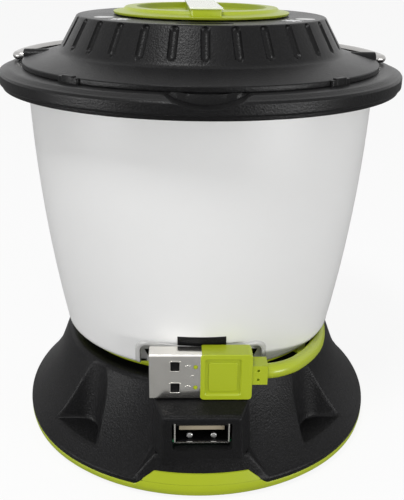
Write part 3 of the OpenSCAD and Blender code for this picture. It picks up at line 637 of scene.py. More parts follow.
def build_lid_cover(sizes):
    """Flange, coved foot, cone with flutes and top plate as one closed skin.

    The outline is turned about the axis. A flute is the part of a long capsule of radius w/2 that lies in the
    cone: at distance q from the capsule's axis the surface sinks by sqrt((w/2)^2 - q^2), so its rim is crisp.
    The columns run parallel to the flutes: half of each pitch is spread over the flute's width."""
    foot, top, cone_z = CONE_FOOT_R, CONE_TOP_R, LEDGE_Z + 3.5
    path = outline([
        (41.0, LEDGE_Z + 0.02), (FLANGE_R, LEDGE_Z + 0.02, 0.1), (FLANGE_R, LEDGE_Z + 1.2, 0.35),
        (foot + 3.2, LEDGE_Z + 2.75, 3.0), (foot + 0.35, cone_z, 2.2), (top + 0.1, COVER_Z, 0.75),
        (12.0, COVER_Z, 0.2), (12.0, COVER_Z - 1.6, 0.2), (top - 2.2, COVER_Z - 1.8, 1.0),
        (foot - 1.6, LEDGE_Z + 2.6, 1.0), (41.0, LEDGE_Z + 0.6, 0.3), (41.0, LEDGE_Z + 0.02)], 6)
    path = dense(path, 0.42)[:-1]
    n, per = sizes.grooves, 24
    c = (np.arange(n * per) % per) / per * 2 - 1
    mid = np.arange(n * per) // per * (2 * np.pi / n) - np.pi / 2
    r, _, z = turned(path, c)
    w = sizes.groove_width / 2
    pitch = r * np.pi / n
    u = np.where(np.abs(c) <= 0.5, c / 0.5 * w, np.sign(c) * (w + (np.abs(c) - 0.5) / 0.5 * (pitch - w)))
    th = mid + u / r
    # along the cone's slant, from its foot
    slant = np.array([top - foot, COVER_Z - cone_z])
    length = np.hypot(*slant)
    slant = slant / length
    s = (r - foot) * slant[0] + (z - cone_z) * slant[1]
    off = (r - foot) * slant[1] - (z - cone_z) * slant[0]
    q = np.hypot(u, s - np.clip(s, 1.35 + w, length - 0.25 - w))
    sink = np.sqrt(np.clip(w * w - q * q, 0, None)) * sizes.groove_depth / w
    sink = np.where((off > -0.6) & (s > 0), sink, 0)
    r, z = r - sink * slant[1], z + sink * slant[0]
    faces = grid_faces(len(path), n * per, True, True)
    cover = make_piece("lid_cover_skin", round_points(r, th, z), faces, "lid", ["lid_cover"], 32)
    carved(cover, solid("window_cutter", rounded(12.6, 2.4, 1.19, 8, (0, -25.95)), COVER_Z - 3, COVER_Z + 1))


def build_light_marks():
    """Flat white marks on the top plate: on each side a small sun, r = 2.0 + 0.6 cos 8t, and a round spot."""
    t = full_circle(64)
    sun = np.c_[np.cos(t), np.sin(t)] * (2.0 + 0.6 * np.cos(8 * t))[:, None]
    spot = disc(2.3, (0, 0), 64)
    for name, plan, place in (("mark_left_oval", spot, (-23.0, -12.0)), ("mark_left_sun", sun, (-18.9, -17.6)),
                              ("mark_right_sun", sun, (20.4, -16.5)), ("mark_right_oval", spot, (24.1, -11.5))):
        prism(name, plan + np.array(place), COVER_Z - 0.03, COVER_Z + 0.04, "print")


def build_ears():
    """Two ears that carry the bail: a box with a rounded top, its corners eased."""
    a = np.linspace(0, np.pi, 17)
    w, inner, outer = 1.75, 38.2, 44.5
    dome = np.c_[w * np.cos(a), LEDGE_Z + 1.2 + w * np.sin(a)]
    plan = np.concatenate([[[-w, LEDGE_Z + 0.02], [w, LEDGE_Z + 0.02]], dome])
    for name, x0, x1 in (("bail_ear_left", -outer, -inner), ("bail_ear_right", inner, outer)):
        ear = prism(name, plan, x0, x1, "lid", turn=lambda v: np.c_[v[:, 2], v[:, 0], v[:, 1]])
        eased(ear, 0.25, 2)


def build_lid_ring():
    """The wide ring under the cover: riser, ledge, rounded rim, side and lip, turned about the axis.

    At the front the rim is scooped by a cylinder of radius DIP_R that lies along Y: a point above the cylinder's
    surface z = c - sqrt(DIP_R^2 - x^2) sinks to it, with the crossing rounded by a smooth minimum."""
    path = outline([
        (43.4, RING_Z), (RING_R - 0.75, RING_Z, 0.3), (RING_R - 0.7, RING_Z + 0.95, 0.15),
        (RING_R - 0.05, RING_Z + 1.15, 0.25), (RING_R - 0.05, LEDGE_Z - 1.3, 0.4),
        (RING_R - 0.35, LEDGE_Z - 0.85, 0.3), (RING_R - 0.95, LEDGE_Z - 0.65, 0.3),
        (RING_R - 2.1, LEDGE_Z - 0.12, 0.5), (RING_R - 2.6, LEDGE_Z - 0.02, 0.3),
        (14.0, LEDGE_Z - 0.02, 0.1), (14.0, LEDGE_Z - 1.5, 0.1), (43.4, LEDGE_Z - 1.5, 0.2), (43.4, RING_Z)], 6)
    path = dense(path[:-1], 0.45)
    # the flat ledge under the cover keeps every sixth point
    keep = np.ones(len(path), bool)
    flat = (path[:, 0] > 15) & (path[:, 0] < 40)
    keep[flat] = (np.arange(flat.sum()) % 6) == 0
    path = path[keep]

    def shape(r, th, z):
        x, y = r * np.cos(th), r * np.sin(th)
        floor = LEDGE_Z - 2.5 + DIP_R - np.sqrt(np.clip(DIP_R ** 2 - x ** 2, 0, None))
        near = (y < 0) & (np.abs(x) < 13) & (r > FLANGE_R - 1.5)
        # the scoop dies out against the cover's flange
        floor = floor + 4 * (1 - ramp(r, FLANGE_R - 0.9, FLANGE_R + 0.6))
        upper = z > RING_Z + 1.6
        dip = smooth_min(z, np.minimum(floor, z + 5), 0.25)
        z = np.where(near & upper, np.minimum(z, dip), z)
        return r, th, z

    turned_piece("lid_ring_skin", path, 720, "lid", ["lid_ring"], shape, 40)


def build_snap_tabs():
    """Four low tabs with eased edges that hold the cover to the ring."""
    for i, angle in enumerate((50, 130, 230, 310)):
        for name, plan, z0, z1 in (
                ("snap_tab_%d", rounded(3.2, 6.0, 0.4, 4, (FLANGE_R - 1.0, 0)), LEDGE_Z - 1.4, LEDGE_Z + 1.32),
                ("snap_latch_%d", rounded(1.3, 3.4, 0.3, 4, (FLANGE_R + 0.05, 0)), LEDGE_Z - 0.2, LEDGE_Z + 1.62)):
            tab = prism(name % i, plan, z0, z1, "lid", turn=spun(angle), replaces=["snap_tabs"])
            eased(tab, 0.18, 2)


# ---- The dial ----


def build_dial():
    """A dished disc with a rounded rim, and a grip bar across it with a pale cap.

    The disc is an outline turned about the axis. The bar and its cap are strips across the disc whose ends follow a
    circle inside its rim, and both are turned a little askew."""
    r = DIAL_R
    path = outline([
        (1.0, DIAL_Z), (r - 0.4, DIAL_Z, 0.1), (r - 0.3, DIAL_Z + 0.55, 0.15), (r - 1.5, DIAL_Z + 0.75, 0.3),
        (r - 2.7, DIAL_Z + 0.95, 0.3), (r - 3.3, DIAL_Z + 1.6, 0.35), (r - 5.9, DIAL_Z + 1.66, 0.25),
        (r - 6.25, DIAL_Z + 0.3, 0.3), (1.0, DIAL_Z + 0.25)], 6)
    path = dense(path, 0.6)
    turned_piece("dial_disc", path, 300, "lime", ["dial_knob"], body="dial")
    a = np.linspace(-1, 1, 25)
    pieces = (
        ("dial_bar", 3.45, r - 1.5, DIAL_Z + 0.2, BAR_TOP - 0.38, "lime", (), 0.3),
        ("dial_cap", 3.72, r - 1.25, BAR_TOP - 0.39, BAR_TOP - 0.02, "insert", ["dial_insert"], 0.12))
    for name, half, end, z0, z1, finish, replaced, ease in pieces:
        reach = np.sqrt(end ** 2 - (a * half) ** 2)
        plan = np.concatenate([np.c_[a * half, -reach], np.c_[a[::-1] * half, reach]])
        piece = prism(name, plan, z0, z1, finish, "dial", spun(DIAL_ASKEW), replaced)
        eased(piece, ease, 3)


# ---- The diffuser ----


def diffuser_radius(z):
    """A cone with a parabolic bulge, which is DIFFUSER_BULGE proud half way up."""
    t = (z - DIFFUSER_Z) / (DIFFUSER_TOP - DIFFUSER_Z)
    return DIFFUSER_R + DIFFUSER_FLARE * t + 4 * t * (1 - t) * DIFFUSER_BULGE


def build_notch_rim():
    """A low raised rim round the notch: its section is carried along the notch's outline on the bulged cone.

    The outline is up one side, round a quarter circle, across, and down the other side. A point of the section
    is moved outwards by u from that outline and stands proud of the cone by w."""
    half, z0, round_r = NOTCH_HALF, DIFFUSER_Z + 0.3, NOTCH_ROUND
    a = np.linspace(np.pi, np.pi / 2, 8)
    up = np.c_[np.full(8, -half), np.linspace(z0, NOTCH_TOP - round_r, 8)]
    bend = np.c_[round_r - half + round_r * np.cos(a), NOTCH_TOP - round_r + round_r * np.sin(a)]
    across = np.c_[np.linspace(round_r - half, 0, 20)[1:], np.full(19, NOTCH_TOP)]
    left = np.concatenate([up[:-1], bend, across])
    path = np.concatenate([left, (left * [-1, 1])[::-1][1:]])
    along = np.gradient(path, axis=0)
    out = unit(np.c_[-along[:, 1], along[:, 0]])
    section = np.array([[0.05, -0.5], [0.02, 0.3], [0.2, 0.5], [0.6, 0.52], [1.0, 0.36], [1.35, 0.02], [1.4, -0.5]])
    flat = path[:, None] + out[:, None] * section[None, :, :1]
    x, z = flat[..., 0] + NOTCH_X, flat[..., 1]
    radius = diffuser_radius(z) + section[None, :, 1]
    verts = np.stack([x, -np.sqrt(radius ** 2 - x ** 2), z], -1)
    faces = grid_faces(len(path), len(section), False, True)
    # the rim is in the darker grey satin: partly its own tint, partly painted shade round the notch
    close_ends(make_piece("notch_rim", verts, faces, "edge_tint_and_shade", smooth=50))


def build_diffuser():
    """The satin shell, turned from the bulged cone, with a hem round its foot and a notch that frees the plug."""
    up = np.linspace(DIFFUSER_Z + 0.35, DIFFUSER_TOP - 0.1, 56)
    side = np.c_[diffuser_radius(up), up]
    edge = diffuser_radius(DIFFUSER_Z)
    foot = np.array([[edge - 1.1, 0], [edge - 0.35, 0], [edge - 0.08, 0.12]]) + [0, DIFFUSER_Z]
    down = np.linspace(DIFFUSER_TOP, 33.6, 14)
    inside = np.c_[diffuser_radius(down) - DIFFUSER_WALL, down]
    lip = np.array([[30.5, 33.5], [30.5, 32.3], [diffuser_radius(32.3) - DIFFUSER_WALL, 32.3],
                    [diffuser_radius(29.0) - DIFFUSER_WALL, 29.0]])
    path = np.concatenate([foot, side, inside, lip])
    shell = turned_piece("diffuser_shell", path, 320, "satin", ["diffuser"])
    path = np.array([[edge - 1.2, 0.02], [edge - 0.1, 0.02], [edge + 0.1, 0.25], [edge + 0.12, 0.55],
                     [edge - 0.02, 0.7], [edge - 1.2, 0.7]]) + [0, DIFFUSER_Z]
    # the hem is in the darker grey satin: partly its own tint, partly painted shade at the diffuser's foot
    hem = turned_piece("diffuser_hem", path, 240, "edge_tint_and_shade")
    plan = rounded(2 * NOTCH_HALF, 16.0, NOTCH_ROUND, 8, (NOTCH_X, NOTCH_TOP - 8))
    for piece in (shell, hem):
        carved(piece, solid("notch_cutter", plan, 33.0, 60.0, turn=facing_front()))
    eased(shell, 0.35, 3, 45)
    build_notch_rim()
    eased_copy("plain_badge", "badge", 0.12, "black", 2)


# ---- The base ----


def skirt_radius(z):
    """Radius of the skirt at height z: a cone that is hollowed by up to SKIRT_HOLLOW half way down."""
    t = np.clip((RIM_TOP_Z - z) / SKIRT_SPAN, 0, 1)
    return RIM_TOP_R + SKIRT_SLOPE * (RIM_TOP_Z - z) - SKIRT_HOLLOW * 4 * t * (1 - t)


def skirt_height(r):
    """Height of the skirt at radius r, read back from its radius at each height."""
    z = np.linspace(60, -10, 600)
    return np.interp(r, skirt_radius(z), z)


def flattened(r, th, z):
    """The base's sides are flatter than a circle, by a share of up to SIDE_FLATNESS that fades towards the rim."""
    return r * (1 - SIDE_FLATNESS * np.cos(th) ** 6 * ramp(RIM_TOP_Z - z, 0, 12))


def chin_radius(z):
    """Radius of the chin's face, which leans back by CHIN_LEAN."""
    return FOOT_R - CHIN_LEAN * (z - BAND_TOP)


def base_height(r, th, draft):
    """Height of the base's upper surface.

    The skirt meets the deck at a smooth minimum. The chin under the socket is a steep face below a ledge whose
    ends slope down to the band, and it joins the skirt at a smooth maximum. Each of the four scoops has a flat
    shelf at SHELF_Z and a wall that leans back by draft, measured from a plan with round inner corners."""
    x, y = np.abs(r * np.cos(th)), r * np.sin(th)
    z = smooth_min(skirt_height(r), CHANNEL_Z + 0 * r, 1.0)
    face = BAND_TOP + (FOOT_R - r) / CHIN_LEAN
    chin = smooth_min(face, CHIN_TOP - 1.3 * np.clip(x - CHIN_HALF, 0, None), 0.5)
    z = np.where((y < 0) & (x < 18), smooth_max(z, chin, 0.4), z)
    a, b = SCOOP_X + SCOOP_ROUND - x, SCOOP_Y + SCOOP_ROUND - np.abs(y)
    d = np.hypot(np.clip(a, 0, None), np.clip(b, 0, None)) + np.minimum(np.maximum(a, b), 0) - SCOOP_ROUND
    wall = SHELF_Z + smooth_max(0 * d, d / draft, 0.5)
    z = smooth_min(z, wall, 0.5)
    # room for the socket, inside its housing
    return np.where((x < 8.3) & (y < 0) & (r > 37.3) & (r < 46.5), np.minimum(z, 12.0), z)


def build_base_skin(sizes):
    """The black skirt with its scoops, as one closed solid over a polar grid, and the neck that stands on it."""
    th = full_circle(840)[None]
    top_r = np.concatenate([np.linspace(49.55, 36.6, 64), [36.2, 35.8, 35.2, 34.0, 32.0, BORE_R]])[:, None]
    top_z = base_height(top_r, th, sizes.scoop_draft)
    floor = BAND_TOP + 0.02
    foot = np.array([[47.7, floor], [49.75, floor], [49.95, 3.35], [FOOT_R, 4.0], [49.93, 4.6]])
    r = np.concatenate([foot[:, :1] + 0 * th, top_r + 0 * th, BORE_R + 0 * th])
    z = np.concatenate([foot[:, 1:] + 0 * th, top_z, floor + 0 * th])
    verts = round_points(flattened(r, th, z), th + 0 * r, z)
    faces = grid_faces(len(r), th.shape[1], True, True)
    make_piece("base_skirt", verts, faces, "black", ["base_shell"], 60)
    path = outline([
        (BORE_R, CHANNEL_Z - 0.6), (NECK_R, CHANNEL_Z - 0.6), (NECK_R, SEAT_Z - 0.02, 0.3), (SEAT_R, SEAT_Z, 0.2),
        (SEAT_R, SEAT_TOP, 0.2), (BORE_R, SEAT_TOP), (BORE_R, CHANNEL_Z - 0.6)])
    turned_piece("base_neck", path[:-1], 180, "black")


def build_nose():
    """The socket's housing.

    Its plan is a U whose front corners are quarter rounds, listed anticlockwise. A level is the plan widened by the
    draft below the top edge and set back below the chin's ledge, the upper edge is a quarter round set in along
    the plan's normals, and the top slopes up towards the rim and closes on the middle line."""
    q = np.linspace(0, np.pi / 2, 8)
    front_half, back_half, front_y, back_y, round_r = 9.45, 11.3, NOSE_Y - 0.02, NOSE_Y - 5.6, 1.0
    side = np.array([[-back_half, -33.0], [-back_half, -36.0], [-back_half, -39.0], [-back_half, -back_y + 1.0],
                     [-back_half + 0.25, -back_y - 0.6]])
    start = round_r - front_half
    corner = np.c_[start - round_r * np.cos(q), round_r - front_y - round_r * np.sin(q)]
    front = np.c_[np.linspace(start, -start, 19)[1:-1], np.full(17, -front_y)]
    left = np.concatenate([side, corner])
    plan = np.concatenate([left, front, (left * [-1, 1])[::-1]])
    along = np.gradient(plan, axis=0)
    out = unit(np.c_[along[:, 1], -along[:, 0]])
    out[[0, -1]] = [[-1, 0], [1, 0]]
    brow, edge = 23.12, 0.7
    top = brow + np.clip(NOSE_Y + plan[:, 1], 0, 5.4) / 5.4 * 1.1
    rows = []
    for z in np.concatenate([[3.6, 8.0, 11.0, 11.25, 11.45, 11.65], np.linspace(12.4, 22.0, 12)]):
        level = plan * [1 + 0.0058 * (23 - z), 1]
        level[:, 1] += 3.0 * ramp(np.full(len(plan), CHIN_TOP + 0.15 - z), 0, 0.4)
        rows.append(np.c_[level, z + (top - brow) * np.clip((z - 12) / 10, 0, 1)])
    for a in np.linspace(0, np.pi / 2, 7):
        rows.append(np.c_[plan - out * edge * (1 - np.cos(a)), top - edge + edge * np.sin(a)])
    for k in (0.8, 0.5, 0.2, 0.0):
        rows.append(np.c_[(plan - out * edge) * [k, 1], top])
    verts = np.array(rows)
    n, m = verts.shape[:2]
    nose = make_piece("socket_housing", verts, grid_faces(n, m, False, True), "black")
    close_ends(nose)
    mouth = rounded(14.1, 7.4, 0.5, 4, (0, SOCKET_Z))
    carved(nose, solid("mouth_cutter", mouth, 33.2, 60.0, turn=facing_front()))


def build_socket_inside():
    """The socket's dark inside: thin black sheets on the shell's floor, sides, back and roof that paint the shade
    inside it, and two spring bumps.
    """
    inset, t = 0.36, 0.06
    x, z0, z1 = high("socket_shell")[0] - inset, low("socket_shell")[2] + inset, high("socket_shell")[2] - inset
    front, back = NOSE_Y - 1.1, -high("socket_shell")[1] + 0.4
    walls = (("floor", [-x, x, z0, z0 + t], back, front - 0.8), ("left", [-x, t - x, z0, z1], back, front),
             ("right", [x - t, x, z0, z1], back, front), ("back", [-x, x, z0, z1], back, back + t),
             ("roof", [-x, x, z1 - t, z1], back, front))
    # black sheets put where the socket's inside is only in shade: painted shade
    for name, (a, b, c, d), near, far in walls:
        plan = np.array([[a, c], [b, c], [b, d], [a, d]])
        prism("socket_painted_shade_" + name, plan, near, far, "black", turn=facing_front())
    for name, x in (("left", -2.9), ("right", 2.9)):
        plan = disc(0.75, (x, z0 + 0.8), 20)
        eased(prism("socket_spring_" + name, plan, 45.4, 46.2, "steel", turn=facing_front()), 0.25, 3)


def build_band():
    """The lime band with its rounded foot."""
    path = outline([
        (46.2, 0.82), (49.05, 0.82, 0.3), (49.75, 1.6, 0.6), (49.98, 2.7, 0.5), (49.9, BAND_TOP, 0.12),
        (46.2, BAND_TOP), (46.2, 0.82)], 5)
    turned_piece("base_band_ring", path[:-1], 360, "lime", ["base_band"],
                 lambda r, th, z: (flattened(r, th, z), th, z), 40)


def build_front_panel():
    """The raised lime panel that follows the chin's face, and widens from its top to its foot.

    It is a grid over u across and v upwards: the radius is the face's, plus a low step whose edges sink in."""
    top, foot, half, flare = 7.8, 1.9, 11.2, 5.6
    v = np.linspace(0, 1, 15)[:, None]
    u = np.linspace(-1, 1, 61)[None]
    z = foot + (top - foot) * v
    x = u * (half + flare * np.clip((top - z) / (top - 3.05), 0, 1))
    edge = np.minimum(1 - np.abs(u), 1 - v) * 12
    proud = 0.28 - 0.35 * (1 - np.clip(edge / 0.5, 0, 1)) ** 2 - 0.9 * (edge < 1e-9)
    r = np.minimum(chin_radius(z), 49.6 + 0.4 * ramp(z, 1.4, 2.7)) + proud * (0.3 + 0.7 * ramp(z, 2.6, 4.5)) - 0.03
    y = -np.sqrt(r * r - x * x)
    front = np.stack([x + 0 * z, y, z + 0 * x], -1)
    back = front + [0, 1.6, 0]
    n, m = front.shape[:2]
    verts = np.concatenate([front.reshape(-1, 3), back.reshape(-1, 3)])
    faces = grid_faces(n, m, False, False)
    inner = faces[:, ::-1] + n * m
    rim = np.concatenate([np.arange(m), np.arange(1, n) * m + m - 1, (n - 1) * m + np.arange(m - 2, -1, -1),
                          np.arange(n - 2, 0, -1) * m])
    after = np.roll(rim, -1)
    walls = np.stack([rim, rim + n * m, after + n * m, after], -1)
    make_piece("front_panel", verts, np.concatenate([faces, inner, walls]), "lime", smooth=50)


# ---- The lead and its plug ----

# The lead's way round the neck, the same as its node's: angle, radius and height
LEAD_ROUTE = np.array([
    [-69.4, 43.8, 30.9], [-66.5, 44.3, 30.9], [-60, 43.4, 30.2], [-52, 41.2, 29.0], [-44, 39.3, 27.9],
    [-36, 37.8, 27.1], [-28, 36.4, 26.85], [-20, 35.2, 26.85], [-10, 34.0, 26.9], [0, 33.4, 27.2],
    [12, 33.2, 27.6], [24, 33.2, 27.9], *([angle, 33.2, 28.1] for angle in (45, 90, 135, 180, 225, 270)),
    [300, 33.2, 28.0], [312, 33.2, 27.8], [318, 33.2, 27.8]])


def swept_tube(points, radius, sides, end_scale=0.97):
    """Points and faces of a round tube: rings stand across its path, and each end closes in a ring of end_scale."""
    t = unit(np.gradient(points, axis=0))
    u = unit(np.cross([0, 0, 1.0], t))
    v = np.cross(t, u)
    scale = np.concatenate([[0.002, end_scale], np.ones(len(points)), [end_scale, 0.002]])
    p, u, v = (np.concatenate([q[:1], q[:1], q, q[-1:], q[-1:]]) for q in (points, u, v))
    a = full_circle(sides)
    ring = np.cos(a)[None, :, None] * u[:, None] + np.sin(a)[None, :, None] * v[:, None]
    return p[:, None] + radius * scale[:, None, None] * ring, grid_faces(len(p), sides, False, True)


def build_lead(sizes):
    """The lead, a round tube along a Catmull-Rom curve through its route, and its gland."""
    p = np.concatenate([LEAD_ROUTE[:1], LEAD_ROUTE, LEAD_ROUTE[-1:]])
    a, b, c, d = p[:-3], p[1:-2], p[2:-1], p[3:]
    legs = np.maximum(2, np.round((c[:, 0] - b[:, 0]) / 3)).astype(int)
    leg = np.repeat(np.arange(len(legs)), legs)
    t = (np.concatenate([np.arange(k) / k for k in legs]))[:, None]
    a, b, c, d = a[leg], b[leg], c[leg], d[leg]
    curve = b + t * (0.5 * (c - a) + t * ((a - 2.5 * b + 2 * c - 0.5 * d) + t * (0.5 * (d - a) + 1.5 * (b - c))))
    curve = np.concatenate([curve, LEAD_ROUTE[-1:]])
    th = np.radians(curve[:, 0])
    points = np.c_[curve[:, 1] * np.cos(th), curve[:, 1] * np.sin(th), curve[:, 2]]
    make_piece("charge_lead_tube", *swept_tube(points, sizes.lead_diameter / 2, 24), "lime", ["charge_lead"], 50)
    eased_copy("lead_gland_block", "lead_gland", 0.3, "lime")


def build_plug_shell():
    """The plug's folded metal shell: windows with raised rims, rivets and pressed marks on its front face."""
    x0, x1 = low("plug_shell")[0], high("plug_shell")[0]
    _, yc, zc = middle("plug_shell")
    _, t, h = high("plug_shell") - low("plug_shell")
    front = facing_front(yc)
    face = t / 2
    windows = [(x0 + 6.05, zc + dz) for dz in (-2.9, 2.9)]
    rivets = [(x1 - 1.15, zc + dz) for dz in (-2.75, 2.75)]

    def along(v):
        return np.c_[v[:, 2], yc + v[:, 0], zc + v[:, 1]]

    shell = prism("plug_can", rounded(t - 0.02, h - 0.02, 0.55, 5), x0 + 0.02, x1 + 0.3, "nickel", turn=along,
                  replaces=["plug_shell"])
    cutters = [solid("can_bore", rounded(t - 0.7, h - 0.7, 0.3, 4), x0 - 1, x1 - 1, turn=along)]
    cutters += [solid("window", rounded(2.1, 2.4, 0.25, 3, place), -5, 5, turn=front) for place in windows]
    cutters += [solid("rivet", disc(0.55, place), 1.2, 5, turn=front) for place in rivets]
    carved(shell, *cutters)
    eased(shell, 0.09, 2, 50)
    for i, (rivet, window) in enumerate(zip(rivets, windows)):
        prism("plug_rivet_%d" % i, disc(0.5, rivet), 1.3, face - 0.1, "lime", turn=front)
        plan = rounded(2.75, 3.05, 0.5, 4, window)
        rim = prism("window_rim_%d" % i, plan, face - 0.1, face + 0.07, "nickel", turn=front)
        carved(rim, solid("rim_hole", rounded(2.15, 2.45, 0.25, 4, window), 0, 5, turn=front))
        eased(rim, 0.05, 2, 45)
    for i, (dx, dz, radius) in enumerate(((-2.95, 2.75, 0.62), (-2.95, -2.75, 0.62), (-1.9, 0.25, 0.36))):
        plan = disc(radius, (x1 + dx, zc + dz))
        eased(prism("plug_dimple_%d" % i, plan, face - 0.2, face + 0.06, "nickel", turn=front), 0.06, 2, 45)
    # A black sheet behind the windows, where the plug's inside is only in shade: painted shade.
    prism("plug_window_shade", rounded(4.4, h - 1.6, 0.3, 3, (x0 + 6.0, zc)), face - 0.9, face - 0.42, "black", turn=front)


def build_grip():
    """The moulded grip with a sunk field and a raised pad in it, and the strain relief."""
    width, thick, height = PLUG_HIGH - PLUG_LOW
    xc, yc, zc = (PLUG_LOW + PLUG_HIGH) / 2
    front, face = facing_front(yc), thick / 2
    grip = prism("grip_body", rounded(width, height, 0.9, 6, (xc, zc)), -face + 0.01, face - 0.01, "lime",
                 turn=front, replaces=["plug_grip"])
    centre = (PLUG_LOW[0] + 5.3, zc)
    carved(grip, solid("grip_field", rounded(8.4, 9.6, 0.5, 4, centre), face - 0.42, thick, turn=front))
    eased(grip, 0.28, 3, 45)
    pad = prism("grip_pad", rounded(6.8, 7.8, 0.7, 5, centre), face - 0.6, face - 0.2, "lime", turn=front)
    eased(pad, 0.14, 2, 45)
    eased_copy("relief_block", "plug_relief", 0.45, "lime")


# ---- Stage ----

# The camera, in metres and degrees: turn, heading, pitch and roll
CAMERA_REACH = 0.1871
CAMERA_HEIGHT = 0.1216
CAMERA_LENS = 63.89
CAMERA_ANGLES = (1.6, 1.9, 22.26, 0.82)

# Strength of the world's light, and each lamp's name, place, target, size in metres and power in watts
AMBIENT = 0.32
LAMPS = (
    ("front_right_panel", (0.58, -0.54, 0.06), (0, 0, 0.08), (0.45, 0.12), 3.7),
    ("left_panel", (-0.72, -0.36, 0.06), (0, 0, 0.08), (0.45, 0.12), 3.1),
    ("overhead_left_box", (-0.14, -0.26, 0.62), (0, 0, 0.11), (0.13, 0.13), 1.9),
)

# Grey of the floor as it lights the lantern and as the camera sees it, and the share of plain white in what it sees
FLOOR_LIGHT = (0.34, 0.34, 0.34, 1)
FLOOR_SEEN = (0.92, 0.92, 0.92, 1)
FLOOR_WHITE = 0.9


def build_camera():
    """A camera in front of the lantern and a little to its left, level with the lid's top and looking down at it.

    Its turn is its place round the axis, and its heading, pitch and roll are where it looks."""
    turn, heading, pitch, roll = (math.radians(a) for a in CAMERA_ANGLES)
    data = bpy.data.cameras.new("studio_camera")
    data.sensor_fit = "HORIZONTAL"
    data.sensor_width = 36.0
    data.lens = CAMERA_LENS
    data.clip_start = 0.01
    camera = in_scene("studio_camera", data)
    ahead = Vector((math.sin(heading) * math.cos(pitch), math.cos(heading) * math.cos(pitch), -math.sin(pitch)))
    right = Vector((math.cos(heading), -math.sin(heading), 0))
    up = right.cross(ahead)
    right, up = right * math.cos(roll) + up * math.sin(roll), up * math.cos(roll) - right * math.sin(roll)
    place = Vector((-CAMERA_REACH * math.sin(turn), -CAMERA_REACH * math.cos(turn), CAMERA_HEIGHT))
    camera.matrix_world = Matrix((
        (right.x, up.x, -ahead.x, place.x), (right.y, up.y, -ahead.y, place.y), (right.z, up.z, -ahead.z, place.z),
        (0, 0, 0, 1)))
    bpy.context.scene.camera = camera


def soft_light(name, place, target, size, power):
    """A soft box that faces a target point."""
    data = bpy.data.lights.new(name, "AREA")
    data.shape = "RECTANGLE"
    data.size, data.size_y = size
    data.energy = power
    light = in_scene(name, data)
    light.location = place
    light.rotation_euler = (Vector(target) - Vector(place)).to_track_quat("-Z", "Y").to_euler()


def build_floor():
    """A wide pale floor: the camera sees it as nearly plain white, with a faint shadow."""
    g = Graph(bpy.data.materials.new("studio_floor"))
    path = g.node("ShaderNodeLightPath", {}, {}, "Is Camera Ray")
    g.finish(Base_Color=g.mix(path, FLOOR_LIGHT, FLOOR_SEEN), Roughness=0.9)
    glow = g.node("ShaderNodeEmission", {}, {"Color": (1, 1, 1, 1), "Strength": 1.0}, "Emission")
    lit = Socket(g, g.shader.outputs["BSDF"])
    mixed = g.node("ShaderNodeMixShader", {}, {0: path * FLOOR_WHITE, 1: lit, 2: glow}, "Shader")
    g.tree.links.new(mixed.out, g.tree.nodes["Material Output"].inputs["Surface"])
    mesh = bpy.data.meshes.new("studio_floor")
    mesh.from_pydata([(-4, -4, 0), (4, -4, 0), (4, 4, 0), (-4, 4, 0)], [], [(0, 1, 2, 3)])
    mesh.materials.append(g.owner)
    in_scene("studio_floor", mesh)


def build_world(ambient):
    """A white world: the camera, gloss and clear plastic see it at strength 1, and it lights at ambient."""
    world = bpy.data.worlds.new("studio_world")
    bpy.context.scene.world = world
    g = Graph(world, "Background")
    camera, gloss, through = (g.node("ShaderNodeLightPath", {}, {}, ray) for ray in (
        "Is Camera Ray", "Is Glossy Ray", "Is Transmission Ray"))
    seen = camera.math("MAXIMUM", gloss).math("MAXIMUM", through)
    level = g.node("ShaderNodeMapRange", {}, {"Value": seen, "To Min": ambient, "To Max": 1.0})
    g.finish(Color=(1, 1, 1, 1), Strength=level)


# ---- Operators ----


class LANTERN_OT_finishes(bpy.types.Operator):
    """Makes every finish and gives each node of the frame its own"""

    bl_idname = "lantern.finishes"
    bl_label = "Finishes"

    def execute(self, context):
        FINISH.clear()
        FINISH.update(make_finishes(context.scene.lantern_sizes, context.scene.lantern_colours))
        for finish, nodes in FINISH_NODES.items():
            for node in nodes:
                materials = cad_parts[node].data.materials
                materials.clear()
                materials.append(FINISH[finish])
        return {"FINISHED"}


class LANTERN_OT_lid(bpy.types.Operator):
    """Builds the fluted cover, the ring under it, the ears and the snap tabs"""

    bl_idname = "lantern.lid"
    bl_label = "Lid"

    def execute(self, context):
        build_lid_cover(context.scene.lantern_sizes)
        build_light_marks()
        build_ears()
        build_lid_ring()
        build_snap_tabs()
        return {"FINISHED"}


class LANTERN_OT_dial(bpy.types.Operator):
    """Builds the dished dial with its bar and pale cap"""

    bl_idname = "lantern.dial"
    bl_label = "Dial"

    def execute(self, context):
        build_dial()
        return {"FINISHED"}


class LANTERN_OT_diffuser(bpy.types.Operator):
    """Builds the satin diffuser with its notch, and the plain badge"""

    bl_idname = "lantern.diffuser"
    bl_label = "Diffuser"

    def execute(self, context):
        build_diffuser()
        return {"FINISHED"}


class LANTERN_OT_base(bpy.types.Operator):
    """Builds the scooped skirt, the socket's housing and the lime band"""

    bl_idname = "lantern.base"
    bl_label = "Base"

    def execute(self, context):
        build_base_skin(context.scene.lantern_sizes)
        build_nose()
        build_socket_inside()
        build_band()
        build_front_panel()
        return {"FINISHED"}


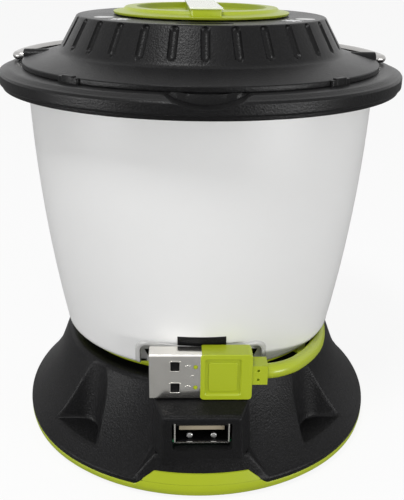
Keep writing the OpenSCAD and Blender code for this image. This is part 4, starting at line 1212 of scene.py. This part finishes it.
class LANTERN_OT_lead(bpy.types.Operator):
    """Builds the lead, its gland and the plug"""

    bl_idname = "lantern.lead"
    bl_label = "Lead and plug"

    def execute(self, context):
        build_lead(context.scene.lantern_sizes)
        build_plug_shell()
        build_grip()
        return {"FINISHED"}


class LANTERN_OT_stage(bpy.types.Operator):
    """Builds the camera, the floor, the soft lights and the white world"""

    bl_idname = "lantern.stage"
    bl_label = "Stage"

    def execute(self, context):
        build_camera()
        build_floor()
        build_world(AMBIENT)
        for lamp in LAMPS:
            soft_light(*lamp)
        context.scene.view_settings.view_transform = "Standard"
        return {"FINISHED"}


class LANTERN_PT_panel(bpy.types.Panel):
    """Lists the lantern's sizes, colours and pieces"""

    bl_idname = "LANTERN_PT_panel"
    bl_label = "Lantern"
    bl_space_type = "VIEW_3D"
    bl_region_type = "UI"
    bl_category = "Lantern"

    def draw(self, context):
        for group in (context.scene.lantern_sizes, context.scene.lantern_colours):
            for key in group.__annotations__:
                self.layout.prop(group, key)
        for operator in OPERATORS:
            self.layout.operator(operator.bl_idname)


OPERATORS = (LANTERN_OT_stage, LANTERN_OT_finishes, LANTERN_OT_lead, LANTERN_OT_base, LANTERN_OT_diffuser,
             LANTERN_OT_lid, LANTERN_OT_dial)
CLASSES = (LanternSizes, LanternColours, *OPERATORS, LANTERN_PT_panel)


def register():
    """Registers every class, and ties the sizes and colours to the scene."""
    for cls in CLASSES:
        bpy.utils.register_class(cls)
    bpy.types.Scene.lantern_sizes = bpy.props.PointerProperty(type=LanternSizes)
    bpy.types.Scene.lantern_colours = bpy.props.PointerProperty(type=LanternColours)


def unregister():
    """Takes back what register did."""
    del bpy.types.Scene.lantern_colours
    del bpy.types.Scene.lantern_sizes
    for cls in reversed(CLASSES):
        bpy.utils.unregister_class(cls)


def main():
    """Builds the stage, the finishes and every piece."""
    register()
    bpy.ops.lantern.stage()
    bpy.ops.lantern.finishes()
    bpy.ops.lantern.lead()
    bpy.ops.lantern.base()
    bpy.ops.lantern.diffuser()
    bpy.ops.lantern.lid()
    bpy.ops.lantern.dial()


if __name__ == "__main__":
    main()
